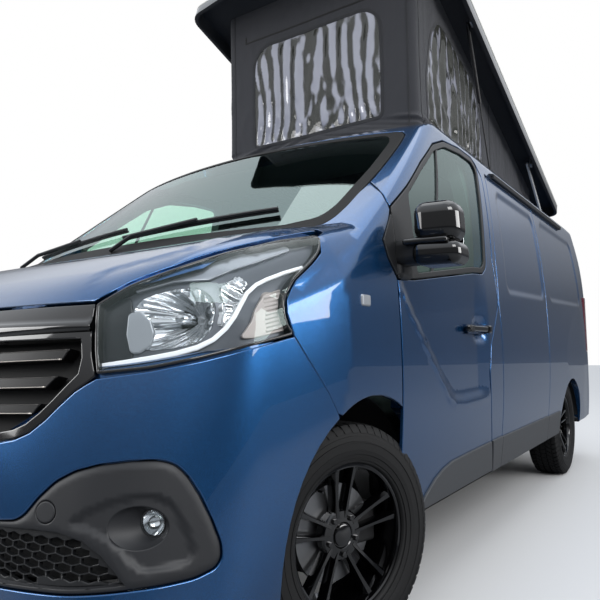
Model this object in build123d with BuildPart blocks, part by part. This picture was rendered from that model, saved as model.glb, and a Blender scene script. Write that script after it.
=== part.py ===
from build123d import *
import math
import os

# Camper van with a lifting roof, in millimetres.
# Forward is -Y, the vehicle's left side is +X, up is +Z.
# The origin lies on the ground under the middle of the vehicle.

# Overall sizes
length = 5000
wheelbase = 3098
front_overhang = 933
body_width = 1956
bumper_clearance = 200
sill_height = 330
roof_height = 1967
nose_y = -length / 2
tail_y = length / 2
front_axle_y = nose_y + front_overhang
rear_axle_y = front_axle_y + wheelbase

# Wheels and tyres
tyre_radius = 345
rim_radius = 222
track_front = 1615
track_rear = 1628
spoke_count = 5
steer_at_rest = -18
kingpin_x = 752

# Bodywork thicknesses and gaps
wall = 45
panel = 12
glass = 5
shut_gap = 5
seat_gap = 0.3
pin_gap = 0.3

# Cross-section of the bodywork
waist_height = 850
upper_side_radius = 4877
lower_side_radius = 3200
gutter_height = 1880
roof_edge_half = 800
roof_edge_height = 1940

# Plan of the nose, drawn at the bumper's height and leaning back above it
nose_plan_height = 600
nose_lean = 0.22

# Bonnet and windscreen surfaces
bonnet_front = (-2400, 1030)
bonnet_middle = (-2120, 1183)
cowl = (-1830, 1270)
screen_run = 780
screen_rise = 580
screen_plan_radius = 2400
shoulder_radius = 130
header = (-800, 1912)

# Wheel arches: centre and radius of the front ones, and of the rear ones in the side skin
front_arch = (front_axle_y - 43, 350, 425)
rear_arch = (rear_axle_y, 285, 400)

# Lifting roof: pivots of its rear arms, and its raised angle
lid_half = 810
lid_front_y = -890
lid_rear_y = 2150
lid_rim_height = 1955
lid_top_height = 2066
lid_skin = 28
lid_angle = 19.8
arm_foot = (1920, 1985)
arm_head_closed = (1383, 1980)
arm_turn = 39.1
strut_foot = (470, 1990)
strut_head_closed = (-70, 1992)
strut_x = 748
arm_x = 735
canvas_half = 645
canvas_front_y = -400
canvas_rear_y = 1950
canvas_wall = 10
roof_frame_top = 1990

os.makedirs("parts", exist_ok=True)


def half_width(height):
    """Half the body's width at a height, from the two side arcs."""
    rise = height - waist_height
    radius = upper_side_radius if rise > 0 else lower_side_radius
    return body_width / 2 - radius + math.sqrt(radius**2 - rise**2)


def side_block(outline, inner_x, outer_x, rounding=0):
    """Prism over a side-view outline (y, z), between two distances from the centre plane."""
    with BuildPart() as block:
        with BuildSketch(Plane.YZ.offset(inner_x)):
            with BuildLine():
                if rounding:
                    FilletPolyline(*outline, radius=rounding, close=True)
                else:
                    Polyline(*outline, close=True)
            make_face()
        extrude(amount=outer_x - inner_x)
    return block.part


def front_block(outline, front_y, rear_y, rounding=0):
    """Prism over a front-view outline (x, z), between two stations along the vehicle."""
    with BuildPart() as block:
        with BuildSketch(Plane.XZ.offset(-rear_y)):
            with BuildLine():
                if rounding:
                    FilletPolyline(*outline, radius=rounding, close=True)
                else:
                    Polyline(*outline, close=True)
            make_face()
        extrude(amount=rear_y - front_y)
    return block.part


def box_block(low, high):
    """Box between two corners."""
    with BuildPart() as block:
        with Locations(low):
            Box(*(b - a for a, b in zip(low, high)), align=(Align.MIN, Align.MIN, Align.MIN))
    return block.part


def mirror_outline(half):
    """Closed front-view outline from its right-hand half, which starts and ends on the centre line."""
    return half + [(-x, z) for x, z in reversed(half) if x > 0]


def wheel_disc(centre_y, centre_z, radius, inner_x, outer_x):
    """Cylinder across the vehicle, as wide as a wheel well or an arch."""
    with BuildPart() as disc:
        with BuildSketch(Plane.YZ.offset(inner_x)):
            with Locations((centre_y, centre_z)):
                Circle(radius)
        extrude(amount=outer_x - inner_x)
    return disc.part


def envelope(inset):
    """Outer form of the bodywork, moved inwards by inset."""
    low_x = half_width(bumper_clearance)
    with BuildPart() as form:
        # cross-section of the sides and roof
        with BuildSketch(Plane.XZ):
            with BuildLine():
                Line((-low_x, bumper_clearance), (low_x, bumper_clearance))
                ThreePointArc(
                    (low_x, bumper_clearance), (half_width(500), 500), (body_width / 2, waist_height),
                )
                ThreePointArc(
                    (body_width / 2, waist_height), (half_width(1400), 1400),
                    (half_width(gutter_height), gutter_height),
                )
                ThreePointArc(
                    (half_width(gutter_height), gutter_height), (847, 1920),
                    (roof_edge_half, roof_edge_height),
                )
                ThreePointArc(
                    (roof_edge_half, roof_edge_height), (0, roof_height),
                    (-roof_edge_half, roof_edge_height),
                )
                ThreePointArc(
                    (-roof_edge_half, roof_edge_height), (-847, 1920),
                    (-half_width(gutter_height), gutter_height),
                )
                ThreePointArc(
                    (-half_width(gutter_height), gutter_height), (-half_width(1400), 1400),
                    (-body_width / 2, waist_height),
                )
                ThreePointArc(
                    (-body_width / 2, waist_height), (-half_width(500), 500),
                    (-low_x, bumper_clearance),
                )
            make_face()
            if inset:
                offset(amount=-inset, kind=Kind.INTERSECTION)
        extrude(amount=length, both=True)
        # side view: nose arc, underside, tail and roof line
        with BuildSketch(Plane.YZ):
            with BuildLine():
                ThreePointArc((-2440, bumper_clearance), (nose_y, 600), bonnet_front)
                Line(bonnet_front, (-2300, 1500))
                Line((-2300, 1500), (-1120, 1862))
                Line((-1120, 1862), header)
                ThreePointArc(header, (650, 1968), (2345, 1938))
                ThreePointArc((2345, 1938), (2382, 1924), (2398, 1885))
                ThreePointArc((2398, 1885), (2462, 1200), (2470, 560))
                Line((2470, 560), (2455, sill_height))
                Line((2455, sill_height), (-1190, sill_height))
                Line((-1190, sill_height), (-1190, bumper_clearance))
                Line((-1190, bumper_clearance), (-2440, bumper_clearance))
            make_face()
            if inset:
                offset(amount=-inset, kind=Kind.INTERSECTION)
        extrude(amount=body_width, both=True, mode=Mode.INTERSECT)
        # plan of the nose, leaning back with height, and of the tail
        with BuildSketch(Plane.XY.offset(nose_plan_height)):
            with BuildLine():
                crown = ThreePointArc((-650, -2415), (0, nose_y), (650, -2415))
                right = TangentArc((650, -2415), (930, -2120), tangent=crown % 1)
                flank = TangentArc((930, -2120), (990, -1400), tangent=right % 1)
                Line((990, -1400), (990, 3200))
                Line((990, 3200), (-990, 3200))
                Line((-990, 3200), (-990, -1400))
                mirror(right, about=Plane.YZ)
                mirror(flank, about=Plane.YZ)
            make_face()
            if inset:
                offset(amount=-inset, kind=Kind.INTERSECTION)
        extrude(amount=2200, dir=(0, nose_lean, 1), both=True, mode=Mode.INTERSECT)
        with BuildSketch(Plane.XY):
            with BuildLine():
                FilletPolyline(
                    (-990, -3000), (990, -3000), (990, 900), (948, 2480), (-948, 2480), (-990, 900),
                    radius=90, close=True,
                )
            make_face()
            if inset:
                offset(amount=-inset, kind=Kind.INTERSECTION)
        extrude(amount=2200, mode=Mode.INTERSECT)
        # air over the bonnet and ahead of the windscreen
        add(air_over_bonnet(inset), mode=Mode.SUBTRACT)
    return form.part


def ahead_of_screen(forward):
    """Everything ahead of the windscreen's surface, moved forward along the vehicle."""
    half = 1100
    sweep = screen_plan_radius - math.sqrt(screen_plan_radius**2 - half**2)
    base_y = cowl[0] - forward
    with BuildPart() as block:
        with BuildSketch(Plane.XY.offset(cowl[1])):
            with BuildLine():
                ThreePointArc((-half, base_y + sweep), (0, base_y), (half, base_y + sweep))
                Polyline((half, base_y + sweep), (half, -5200), (-half, -5200), (-half, base_y + sweep))
            make_face()
        extrude(amount=1500, dir=(0, screen_run / screen_rise, 1), both=True)
    return block.part


def air_over_bonnet(inset):
    """Air over the bonnet's arc and outside its shoulders, ahead of the windscreen."""
    screen_slope = math.hypot(screen_run, screen_rise) / screen_rise
    drop = inset
    slope = (cowl[1] - bonnet_front[1]) / (cowl[0] - bonnet_front[0])
    side = half_width(1250) - inset
    shoulder_drop = 60
    with BuildPart() as air:
        with BuildSketch(Plane.YZ.offset(-body_width)):
            with BuildLine():
                start = (bonnet_front[0], bonnet_front[1] - drop)
                end = (cowl[0] + 14, cowl[1] - drop + 5)
                arc = ThreePointArc(start, (bonnet_middle[0], bonnet_middle[1] - drop), end)
                Polyline(
                    end, (-900, end[1] + 170), (-900, 2500), (-3200, 2500), (-3200, start[1] - 60),
                    start,
                )
            make_face()
        extrude(amount=2 * body_width)
        # outside the shoulders
        for sign in (-1, 1):
            with BuildSketch(Plane.XZ.offset(-cowl[0])):
                with BuildLine():
                    top = cowl[1] - drop + 4
                    a = (sign * (side - shoulder_radius), top)
                    b = (sign * (side + 3), top - shoulder_radius - shoulder_drop)
                    m = (sign * (side - 38), top - 62)
                    ThreePointArc(a, m, b)
                    Polyline(b, (sign * 1200, b[1]), (sign * 1200, 2600), (a[0], 2600), a)
                make_face()
            extrude(amount=1500, dir=(0, -1, -slope), both=True)
        add(ahead_of_screen(-inset * screen_slope), mode=Mode.INTERSECT)
    return air.part


def arm(points, width, low, high, plane):
    """Flat link along a chain of points, rounded at its ends, between two levels of a plane's normal."""
    with BuildPart() as link:
        with BuildSketch(plane.offset(low)):
            for start, end in zip(points, points[1:]):
                run = math.dist(start, end)
                middle = ((start[0] + end[0]) / 2, (start[1] + end[1]) / 2)
                turn = math.degrees(math.atan2(end[1] - start[1], end[0] - start[0]))
                with Locations(Location(middle, turn)):
                    SlotCenterToCenter(run, width)
        extrude(amount=high - low)
    return link.part


def hinged(point, pivot, angle):
    """A side-view point (y, z) turned about a pivot, front end down for a positive angle."""
    turn = math.radians(angle)
    run, rise = point[0] - pivot[0], point[1] - pivot[1]
    return (
        pivot[0] + run * math.cos(turn) - rise * math.sin(turn),
        pivot[1] + run * math.sin(turn) + rise * math.cos(turn),
    )


def turned(part, pivot, angle):
    """A solid turned about a crosswise axis through a side-view pivot (y, z)."""
    return part.rotate(Axis((0, pivot[0], pivot[1]), (1, 0, 0)), angle)


# Outer form and its inner faces
outer = envelope(0)
inner_wall = envelope(wall)
panel_skin = outer - envelope(panel)
wall_shell = outer - inner_wall

# Shut lines in side view (y, z)
door_front_y = -1403
wing_rear_y = -1414
door_outline = [
    (door_front_y, sill_height + 12), (door_front_y, 1372), (-1378, 1428), (-1246, 1526), (-1058, 1672),
    (-862, 1816), (-700, 1868), (-460, 1890), (-190, 1890), (-150, 1820), (-268, 1300), (-262, 1130),
    (-430, 930), (-462, 800), (-440, 600), (-380, sill_height + 12),
]
door_gap_outline = [
    (wing_rear_y, sill_height + 6), (wing_rear_y, 1377), (-1384, 1436), (-1250, 1534), (-1062, 1680),
    (-866, 1824), (-702, 1876), (-460, 1897), (-180, 1897), (-142, 1822), (-262, 1301), (-256, 1128),
    (-424, 927), (-456, 800), (-434, 600), (-373, sill_height + 6),
]
window_outline = [
    (-1372, 1180), (-1380, 1378), (-1215, 1500), (-1030, 1640), (-835, 1778), (-690, 1832),
    (-460, 1850), (-300, 1846), (-262, 1810), (-430, 1290), (-500, 1250),
]
slide_outline = [
    (-245, sill_height + 12), (-245, 1150), (-212, 1345), (-100, 1835), (890, 1835), (832, 1300),
    (818, sill_height + 12),
]
bonnet_line = [(-2520, 1022), (-2420, 1022), (-2120, 1160), (-1900, 1225), (-1712, 1268)]
lamp_outline = [
    (-2405, 868), (-2405, 1022), (-2120, 1156), (-1900, 1221), (-1712, 1263), (-1745, 1190),
    (-1888, 1040), (-1945, 950), (-2220, 914),
]
wing_outline = [
    (-1700, 1272), (-1745, 1190), (-1888, 1040), (-1945, 950), (-1780, 700), (-1780, 300),
    (wing_rear_y, 300), (wing_rear_y, 1384), (-1505, 1462), (-1640, 1480),
]

# Front-view outlines (x, z)
screen_outline = mirror_outline(
    [(0, 1290), (740, 1300), (846, 1350), (851, 1400), (838, 1680), (806, 1838), (0, 1858)]
)
lamp_inner_x = 645
grille_outline = mirror_outline(
    [(0, 704), (270, 708), (400, 724), (520, 790), (590, 850), (644, 868), (644, 1021), (0, 1021)]
)
insert_outline = mirror_outline(
    [
        (0, 383), (430, 385), (745, 398), (826, 425), (868, 462), (848, 640), (792, 680), (660, 664),
        (560, 604), (430, 533), (0, 530),
    ]
)
tailgate_outline = mirror_outline(
    [(0, 566), (820, 566), (868, 660), (868, 1150), (838, 1560), (775, 1866), (0, 1866)]
)
tailgate_glass_outline = mirror_outline(
    [(0, 1180), (720, 1180), (770, 1240), (748, 1560), (690, 1770), (0, 1790)]
)


def grown(outline, amount, plane_block, start, end):
    """Prism over an outline grown by an amount."""
    with BuildPart() as block:
        base = Plane.YZ.offset(start) if plane_block == "side" else Plane.XZ.offset(-end)
        with BuildSketch(base):
            with BuildLine():
                Polyline(*outline, close=True)
            make_face()
            offset(amount=amount, kind=Kind.INTERSECTION)
        extrude(amount=end - start)
    return block.part


# Windscreen, bonded into its aperture
screen_hole = front_block(screen_outline, -2000, -700)
with BuildPart() as windscreen:
    add(outer)
    add(ahead_of_screen(-glass * 1.7), mode=Mode.INTERSECT)
    add(grown(screen_outline, -seat_gap, "front", -2000, -700), mode=Mode.INTERSECT)


# Bonnet: above the lamps' top line, ahead of the scuttle, with two hinge lugs
bonnet_pivot = (-1718, 1272)
bonnet_rear_y = -1712
bonnet_corner_y = -1745
bonnet_lug = (752, 760)
bonnet_pocket = (742, 770)
bonnet_pin_radius = 3


def over_bonnet_line(lift):
    """Everything above the bonnet's shut line, raised by an amount."""
    front_y, front_z = bonnet_line[0]
    top = [(bonnet_rear_y, 1700), (-2700, 1700), (-2700, front_z + lift)]
    return side_block([(y, z + lift) for y, z in bonnet_line] + top, -1000, 1000)


under_low = [(bonnet_rear_y, 0), (-2700, 0), (-2700, bonnet_line[0][1])]
under_line = side_block([(y, z - seat_gap) for y, z in bonnet_line] + under_low, -1000, 1000)
with BuildPart() as bonnet:
    add(panel_skin)
    add(over_bonnet_line(shut_gap), mode=Mode.INTERSECT)
    add(ahead_of_screen(50), mode=Mode.INTERSECT)
    for low_x, high_x in ((bonnet_pocket[1], 1000), (-1000, -bonnet_pocket[1])):
        add(box_block((low_x, bonnet_corner_y, 1200), (high_x, -1600, 1400)), mode=Mode.SUBTRACT)
    for side in (-1, 1):
        low_x = min(side * bonnet_lug[0], side * bonnet_lug[1])
        high_x = low_x + bonnet_lug[1] - bonnet_lug[0]
        add(arm([(-1790, 1266), bonnet_pivot], 15, low_x, high_x, Plane.YZ))
        add(side_block([(-1796, 1258), (-1796, 1272), (-1748, 1282), (-1752, 1262)], low_x, high_x))
        add(wheel_disc(*bonnet_pivot, bonnet_pin_radius + pin_gap, low_x - 1, high_x + 1), mode=Mode.SUBTRACT)

# Everything on the skin ahead of the doors, below the bonnet's shut line
with BuildPart() as nose_skin:
    add(panel_skin)
    add(under_line, mode=Mode.INTERSECT)


# Headlamps
with BuildPart() as headlamp_left:
    add(wall_shell)
    add(side_block(lamp_outline, lamp_inner_x, 1000), mode=Mode.INTERSECT)

# Upper grille: gloss band over slats, set into the nose
slat_reach, slat_lean = 600, 22
slat_rows = [(932, 900), (872, 842), (812, 784), (754, 730)]
with BuildPart() as upper_grille:
    add(wall_shell)
    add(front_block(grille_outline, -2600, -2200), mode=Mode.INTERSECT)
    for top, low in slat_rows:
        reach = slat_reach - (slat_rows[0][0] - low) * 1.05
        slot = front_block(
            [(-reach, low), (reach, low), (reach + slat_lean, top), (-reach - slat_lean, top)], -2600,
            -2300,
        )
        add(slot & panel_skin, mode=Mode.SUBTRACT)

# Lower insert: fog-lamp surrounds and the mesh between them
fog_x = 800
fog_height = 540
with BuildPart() as lower_grille:
    add(wall_shell)
    add(front_block(insert_outline, -2600, -2050), mode=Mode.INTERSECT)
    with BuildSketch(Plane.XZ.offset(2600)):
        with Locations((fog_x, fog_height), (-fog_x, fog_height)):
            Circle(38)
    extrude(amount=-500, mode=Mode.SUBTRACT)
with BuildPart() as fog_lamps:
    add(wall_shell)
    with BuildSketch(Plane.XZ.offset(2600)):
        with Locations((fog_x, fog_height), (-fog_x, fog_height)):
            Circle(38 - seat_gap)
    extrude(amount=-500, mode=Mode.INTERSECT)

# Front bumper
with BuildPart() as front_bumper:
    add(nose_skin.part)
    add(
        side_block(
            [
                (-2600, 100), (-1700, 100), (-1780, 700), (-1945, 950), (-2220, 914), (-2405, 868),
                (-2600, 868),
            ],
            -1000, 1000,
        ),
        mode=Mode.INTERSECT,
    )
    add(side_block(lamp_outline, -1000, -lamp_inner_x + seat_gap), mode=Mode.SUBTRACT)
    add(side_block(lamp_outline, lamp_inner_x - seat_gap, 1000), mode=Mode.SUBTRACT)
    add(grown(grille_outline, seat_gap, "front", -2600, -2050), mode=Mode.SUBTRACT)
    add(grown(insert_outline, seat_gap, "front", -2600, -2000), mode=Mode.SUBTRACT)
    add(wheel_disc(*front_arch, -1000, 1000), mode=Mode.SUBTRACT)

# Door hinges: a fixed pin between two ears, and a curved strap on the door
door_hinge = (950, -1480)
hinge_heights = (860, 1100)
strap_width = 8
strap_height = 30
pin_radius = 4
ear_thick = 6
ear_gap = 2
hinge_pocket = 13
hinge_pocket_half = strap_height / 2 + ear_gap + ear_thick + 5
strap_route = [door_hinge, (910, -1472), (882, -1456), (872, -1428), (890, -1388), (940, -1385)]
ear_route = [door_hinge, (935, -1500), (895, -1515)]

# Wings
wing_inner_x = 790
with BuildPart() as wing_left:
    add(panel_skin)
    add(side_block(wing_outline, wing_inner_x, 1000), mode=Mode.INTERSECT)
    add(side_block([(-1735, 1268), (-1735, 1500), (-2300, 1500), (-2300, 1268)], 0, 1000), mode=Mode.SUBTRACT)
    add(screen_hole, mode=Mode.SUBTRACT)
    add(wheel_disc(*front_arch, 0, 1000), mode=Mode.SUBTRACT)
    for height in hinge_heights:
        with BuildSketch(Plane.XY.offset(height - hinge_pocket_half)):
            with Locations(door_hinge):
                Circle(hinge_pocket)
        extrude(amount=2 * hinge_pocket_half, mode=Mode.SUBTRACT)


def plan_link(points, width, low, high):
    """Flat link along a chain of plan points."""
    return arm(points, width, low, high, Plane.XY)


hinge_ears = []
hinge_straps = []
hinge_pins = []
for height in hinge_heights:
    strap_low, strap_high = height - strap_height / 2, height + strap_height / 2
    hinge_straps.append(plan_link(strap_route, strap_width, strap_low, strap_high))
    strap_eye = [door_hinge, (door_hinge[0] - 0.5, door_hinge[1])]
    hinge_straps.append(plan_link(strap_eye, 2 * (pin_radius + 4), strap_low, strap_high))
    for low in (strap_low - ear_gap - ear_thick, strap_high + ear_gap):
        hinge_ears.append(plan_link(ear_route, 2 * pin_radius + 6, low, low + ear_thick))
    with BuildPart() as pin:
        with BuildSketch(Plane.XY.offset(strap_low - ear_gap - ear_thick)):
            with Locations(door_hinge):
                Circle(pin_radius)
        extrude(amount=strap_height + 2 * (ear_gap + ear_thick))
    hinge_pins.append(pin.part)

# Front doors, with the window cut out
door_inner_x = 800
handle_span = (-762, -460)
handle_rise = (978, 1020)
handle_out = 30
handle_grip_gap = 16
handle_foot = 42
with BuildPart() as door_left:
    add(wall_shell)
    add(side_block(door_outline, door_inner_x, 1000), mode=Mode.INTERSECT)
    add(side_block(window_outline, door_inner_x, 1000), mode=Mode.SUBTRACT)
    add(wheel_disc(*front_arch, 0, 1000), mode=Mode.SUBTRACT)
    add(wheel_disc(front_arch[0], front_arch[1], front_arch[2] + 11, 0, 893), mode=Mode.SUBTRACT)
    for strap in hinge_straps:
        add(strap)
    # pull handle standing off the panel on two feet
    handle_x = half_width(sum(handle_rise) / 2)
    handle_outline = [(y, z) for y, z in (
        (handle_span[0], handle_rise[0]), (handle_span[1], handle_rise[0]),
        (handle_span[1], handle_rise[1]), (handle_span[0], handle_rise[1]),
    )]
    add(side_block(handle_outline, handle_x - 6, handle_x + handle_out, 12))
    grip_low = (handle_x, handle_span[0] + handle_foot, handle_rise[0] - 1)
    grip_high = (handle_x + handle_grip_gap, handle_span[1] - handle_foot, handle_rise[1] + 1)
    add(box_block(grip_low, grip_high), mode=Mode.SUBTRACT)
    with BuildSketch(Plane.XY.offset(hinge_heights[0] - 100)):
        with Locations(door_hinge):
            Circle(pin_radius + pin_gap)
    extrude(amount=hinge_heights[1] - hinge_heights[0] + 200, mode=Mode.SUBTRACT)

# Door glass: a thin band that follows the side's arcs inside the window
glass_inset = 14
with BuildPart() as door_glass_left:
    with BuildSketch(Plane.XZ.offset(200)):
        with BuildLine():
            Polyline(
                (half_width(1100) - glass_inset, 1100), (half_width(1100) - glass_inset - glass, 1100),
            )
            ThreePointArc(
                (half_width(1100) - glass_inset - glass, 1100),
                (half_width(1500) - glass_inset - glass, 1500),
                (half_width(1880) - glass_inset - glass, 1880),
            )
            Line((half_width(1880) - glass_inset - glass, 1880), (half_width(1880) - glass_inset, 1880))
            ThreePointArc(
                (half_width(1880) - glass_inset, 1880),
                (half_width(1500) - glass_inset, 1500),
                (half_width(1100) - glass_inset, 1100),
            )
        make_face()
    extrude(amount=1300)
    add(grown(window_outline, -seat_gap, "side", door_inner_x, 1000), mode=Mode.INTERSECT)

# Sliding side door, shut
with BuildPart() as sliding_door:
    add(wall_shell)
    add(side_block(slide_outline, door_inner_x, 1000), mode=Mode.INTERSECT)

# Tailgate and its glass
tailgate_front_y = 2250
tailgate_pivot = (2414, 1888)
tailgate_strap_x = (501, 519)
tailgate_ear_x = ((488, 495), (525, 532))
tailgate_pin_radius = 4
with BuildPart() as tailgate:
    add(wall_shell)
    add(front_block(tailgate_outline, tailgate_front_y, 2600), mode=Mode.INTERSECT)
    add(front_block(tailgate_glass_outline, tailgate_front_y, 2600), mode=Mode.SUBTRACT)
    for side in (-1, 1):
        low_x, high_x = sorted(side * x for x in tailgate_strap_x)
        add(arm([(2396, 1838), (2411, 1862), tailgate_pivot], 13, low_x, high_x, Plane.YZ))
        add(
            wheel_disc(*tailgate_pivot, tailgate_pin_radius + pin_gap, low_x - 1, high_x + 1),
            mode=Mode.SUBTRACT,
        )
with BuildPart() as tailgate_glass:
    add(panel_skin)
    add(grown(tailgate_glass_outline, -seat_gap, "front", tailgate_front_y, 2600), mode=Mode.INTERSECT)

# Tail lamps, upright beside the tailgate
lamp_rows = [(884, 1000), (-1000, -884)]
lamp_low, lamp_high = 880, 1330
lamp_front_y = 2330
with BuildPart() as lamp_zone:
    for low_x, high_x in lamp_rows:
        add(box_block((low_x, lamp_front_y, lamp_low), (high_x, 2600, lamp_high)))
with BuildPart() as tail_lamps:
    add(wall_shell)
    add(lamp_zone.part, mode=Mode.INTERSECT)

# Body shell: roof, pillars, sides, floor, firewall and scuttle in one welded piece
opening_half = 590
opening_front_y = -360
opening_rear_y = 1880
firewall_y = -1580
firewall_thick = 25
pillar_y = (-345, -265)
pillar_outline = [
    (770, 345), (885, 345), (915, 600), (926, 850), (
        920, 1100,
    ), (906, 1300), (883, 1500), (851, 1700), (815, 1850),
    (
        805, 1905,
    ), (745, 1905), (790, 1700), (825, 1500), (850, 1100), (855, 850), (845, 600), (800, 440), (770, 430),
]
jack_pad_x, jack_pad_half, jack_pad_drop = 750, 30, 8
jack_pad_rows = (-1000, 950)
well_radius = 400
well_inner_x = 655
liner_thick = 5
liner_inner_x = 500
with BuildPart() as body_shell:
    add(outer)
    # nose and wings, then the hollow inside
    add(box_block((-1100, -2700, 0), (1100, -1640, 1222)), mode=Mode.SUBTRACT)
    add(inner_wall, mode=Mode.SUBTRACT)
    add(ahead_of_screen(26), mode=Mode.SUBTRACT)
    add(box_block((-1100, -2700, 0), (1100, -1189, 420)), mode=Mode.SUBTRACT)
    for inner_x, outer_x in ((wing_inner_x - seat_gap, 1100), (-1100, -wing_inner_x + seat_gap)):
        add(grown(wing_outline, seat_gap, "side", inner_x, outer_x), mode=Mode.SUBTRACT)
        add(
            side_block(
                [(-2700, 300), (-2700, 1300), (-1600, 1300), (-1500, 1000), (-1400, 1000), (-1400, 300)],
                inner_x, outer_x,
            ),
            mode=Mode.SUBTRACT,
        )
    add(screen_hole, mode=Mode.SUBTRACT)
    # doors, tailgate and the opening under the lifting roof
    for inner_x, outer_x in ((door_inner_x - 5, 1100), (-1100, -door_inner_x + 5)):
        add(side_block(door_gap_outline, inner_x, outer_x), mode=Mode.SUBTRACT)
        add(wheel_disc(*rear_arch, inner_x, outer_x), mode=Mode.SUBTRACT)
    for inner_x, outer_x in ((liner_inner_x - seat_gap, 1100), (-1100, -liner_inner_x + seat_gap)):
        arch_cut = front_arch[2] + liner_thick + 2 * seat_gap
        add(wheel_disc(front_arch[0], front_arch[1], arch_cut, inner_x, outer_x), mode=Mode.SUBTRACT)
    add(grown(slide_outline, seat_gap, "side", door_inner_x - seat_gap, 1100), mode=Mode.SUBTRACT)
    add(grown(tailgate_outline, shut_gap, "front", tailgate_front_y - 5, 2600), mode=Mode.SUBTRACT)
    add(
        box_block((-opening_half, opening_front_y, 1700), (opening_half, opening_rear_y, 2100)),
        mode=Mode.SUBTRACT,
    )
    # rear wheel wells through the floor
    for inner_x, outer_x in ((well_inner_x, 930), (-930, -well_inner_x)):
        add(wheel_disc(rear_axle_y, tyre_radius, well_radius, inner_x, outer_x), mode=Mode.SUBTRACT)
    # firewall, toe board and plenum under the scuttle
    add(box_block((-490, firewall_y, sill_height), (490, firewall_y + firewall_thick, 1200)))
    add(box_block((-780, firewall_y, 800), (780, firewall_y + firewall_thick, 1200)))
    add(box_block((-490, firewall_y, sill_height), (490, -1150, sill_height + wall)))
    add(box_block((-900, -1640, 1175), (900, firewall_y + firewall_thick, 1200)))
    for side in (-1, 1):
        low_x, high_x = sorted((side * 780, side * 905))
        add(box_block((low_x, -1640, 800), (high_x, -1500, 1200)))
        low_x, high_x = sorted((side * 700, side * (wing_inner_x - seat_gap)))
        add(box_block((low_x, -1640, 1180), (high_x, firewall_y + firewall_thick, 1275)))
        for pad_y in jack_pad_rows:
            low_x, high_x = sorted((side * (jack_pad_x - jack_pad_half), side * (jack_pad_x + jack_pad_half)))
            pad_low = (low_x, pad_y - jack_pad_half, sill_height - jack_pad_drop)
            add(box_block(pad_low, (high_x, pad_y + jack_pad_half, sill_height)))
        # door pillars inside the doors
        add(front_block([(side * x, z) for x, z in pillar_outline], *pillar_y))
    for inner_x, outer_x in ((lamp_inner_x - 6, 1100), (-1100, 6 - lamp_inner_x)):
        add(grown(lamp_outline, 6, "side", inner_x, outer_x), mode=Mode.SUBTRACT)
    for low_x, high_x in lamp_rows:
        low = (low_x - seat_gap, lamp_front_y - seat_gap, lamp_low - seat_gap)
        add(box_block(low, (high_x + seat_gap, 2600, lamp_high + seat_gap)), mode=Mode.SUBTRACT)
    for piece in hinge_ears + hinge_pins:
        add(piece)
        add(mirror(piece, about=Plane.YZ), mode=Mode.ADD)
    # bonnet pockets and pins, tailgate ears and pins
    for side in (-1, 1):
        low_x, high_x = sorted(side * x for x in bonnet_pocket)
        add(box_block((low_x, -1780, 1215), (high_x, -1695, 1300)), mode=Mode.SUBTRACT)
        add(wheel_disc(*bonnet_pivot, bonnet_pin_radius, low_x - 5, high_x + 5))
        for ear_x in tailgate_ear_x:
            low_x, high_x = sorted(side * x for x in ear_x)
            add(arm([tailgate_pivot, (2385, 1908)], 13, low_x, high_x, Plane.YZ))
        low_x, high_x = sorted((side * tailgate_ear_x[0][0], side * tailgate_ear_x[1][1]))
        add(wheel_disc(*tailgate_pivot, tailgate_pin_radius, low_x + 1, high_x - 1))


# Mirrored bodywork
right_hand = {}
for name, left in (
    ("wing", wing_left), ("headlamp", headlamp_left), ("door", door_left),
    ("door_glass", door_glass_left),
):
    right_hand[name] = mirror(left.part, about=Plane.YZ)

# Door mirrors on their arms
mirror_low, mirror_high = 1185, 1395
mirror_inner_x, mirror_outer_x = 1018, 1186
mirror_front_y, mirror_rear_y = -1440, -1285
with BuildPart() as mirror_left:
    with BuildSketch(Plane.XZ.offset(-mirror_front_y)):
        with BuildLine():
            FilletPolyline(
                (mirror_inner_x, mirror_low + 12), (
                    mirror_inner_x, mirror_high - 14,
                ), (mirror_outer_x - 8, mirror_high),
                (mirror_outer_x, mirror_low + 6), radius=34, close=True,
            )
        make_face()
    extrude(amount=mirror_front_y - mirror_rear_y)
    fillet(mirror_left.faces().sort_by(Axis.Y)[0].edges(), 30)
    add(box_block((half_width(1250) + 8, -1400, 1215), (mirror_inner_x + 30, -1330, 1290)))
    add(
        side_block(
            [(-1400, 1165), (-1400, 1350), (-1330, 1300), (-1240, 1180)], half_width(1165) - 2,
            half_width(1250) + 12,
        )
    )
    add(outer, mode=Mode.SUBTRACT)

# Grey lower trims along the fixed sides
trim_thick = 8
trim_low, trim_high = sill_height + 5, 490
trim_runs = [(1, -362, -252), (1, -238, 812), (1, 826, 1120), (-1, -362, 1120)]


def side_strip(start, end):
    """Left-hand trim strip between two stations, lying on the side."""
    low_x, middle_x, high_x = half_width(trim_low), half_width(410), half_width(trim_high)
    with BuildPart() as strip:
        with BuildSketch(Plane.XZ.offset(-end)):
            with BuildLine():
                Polyline(
                    (low_x + seat_gap, trim_low), (low_x + trim_thick, trim_low),
                    (high_x + trim_thick, trim_high - 10), (high_x + seat_gap, trim_high),
                )
                ThreePointArc(
                    (high_x + seat_gap, trim_high), (middle_x + seat_gap, 410), (low_x + seat_gap, trim_low),
                )
            make_face()
        extrude(amount=end - start)
    return strip.part


with BuildPart() as side_trims:
    for side, start, end in trim_runs:
        if side > 0:
            add(side_strip(start, end))
        else:
            mirror(side_strip(start, end), about=Plane.YZ)

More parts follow.
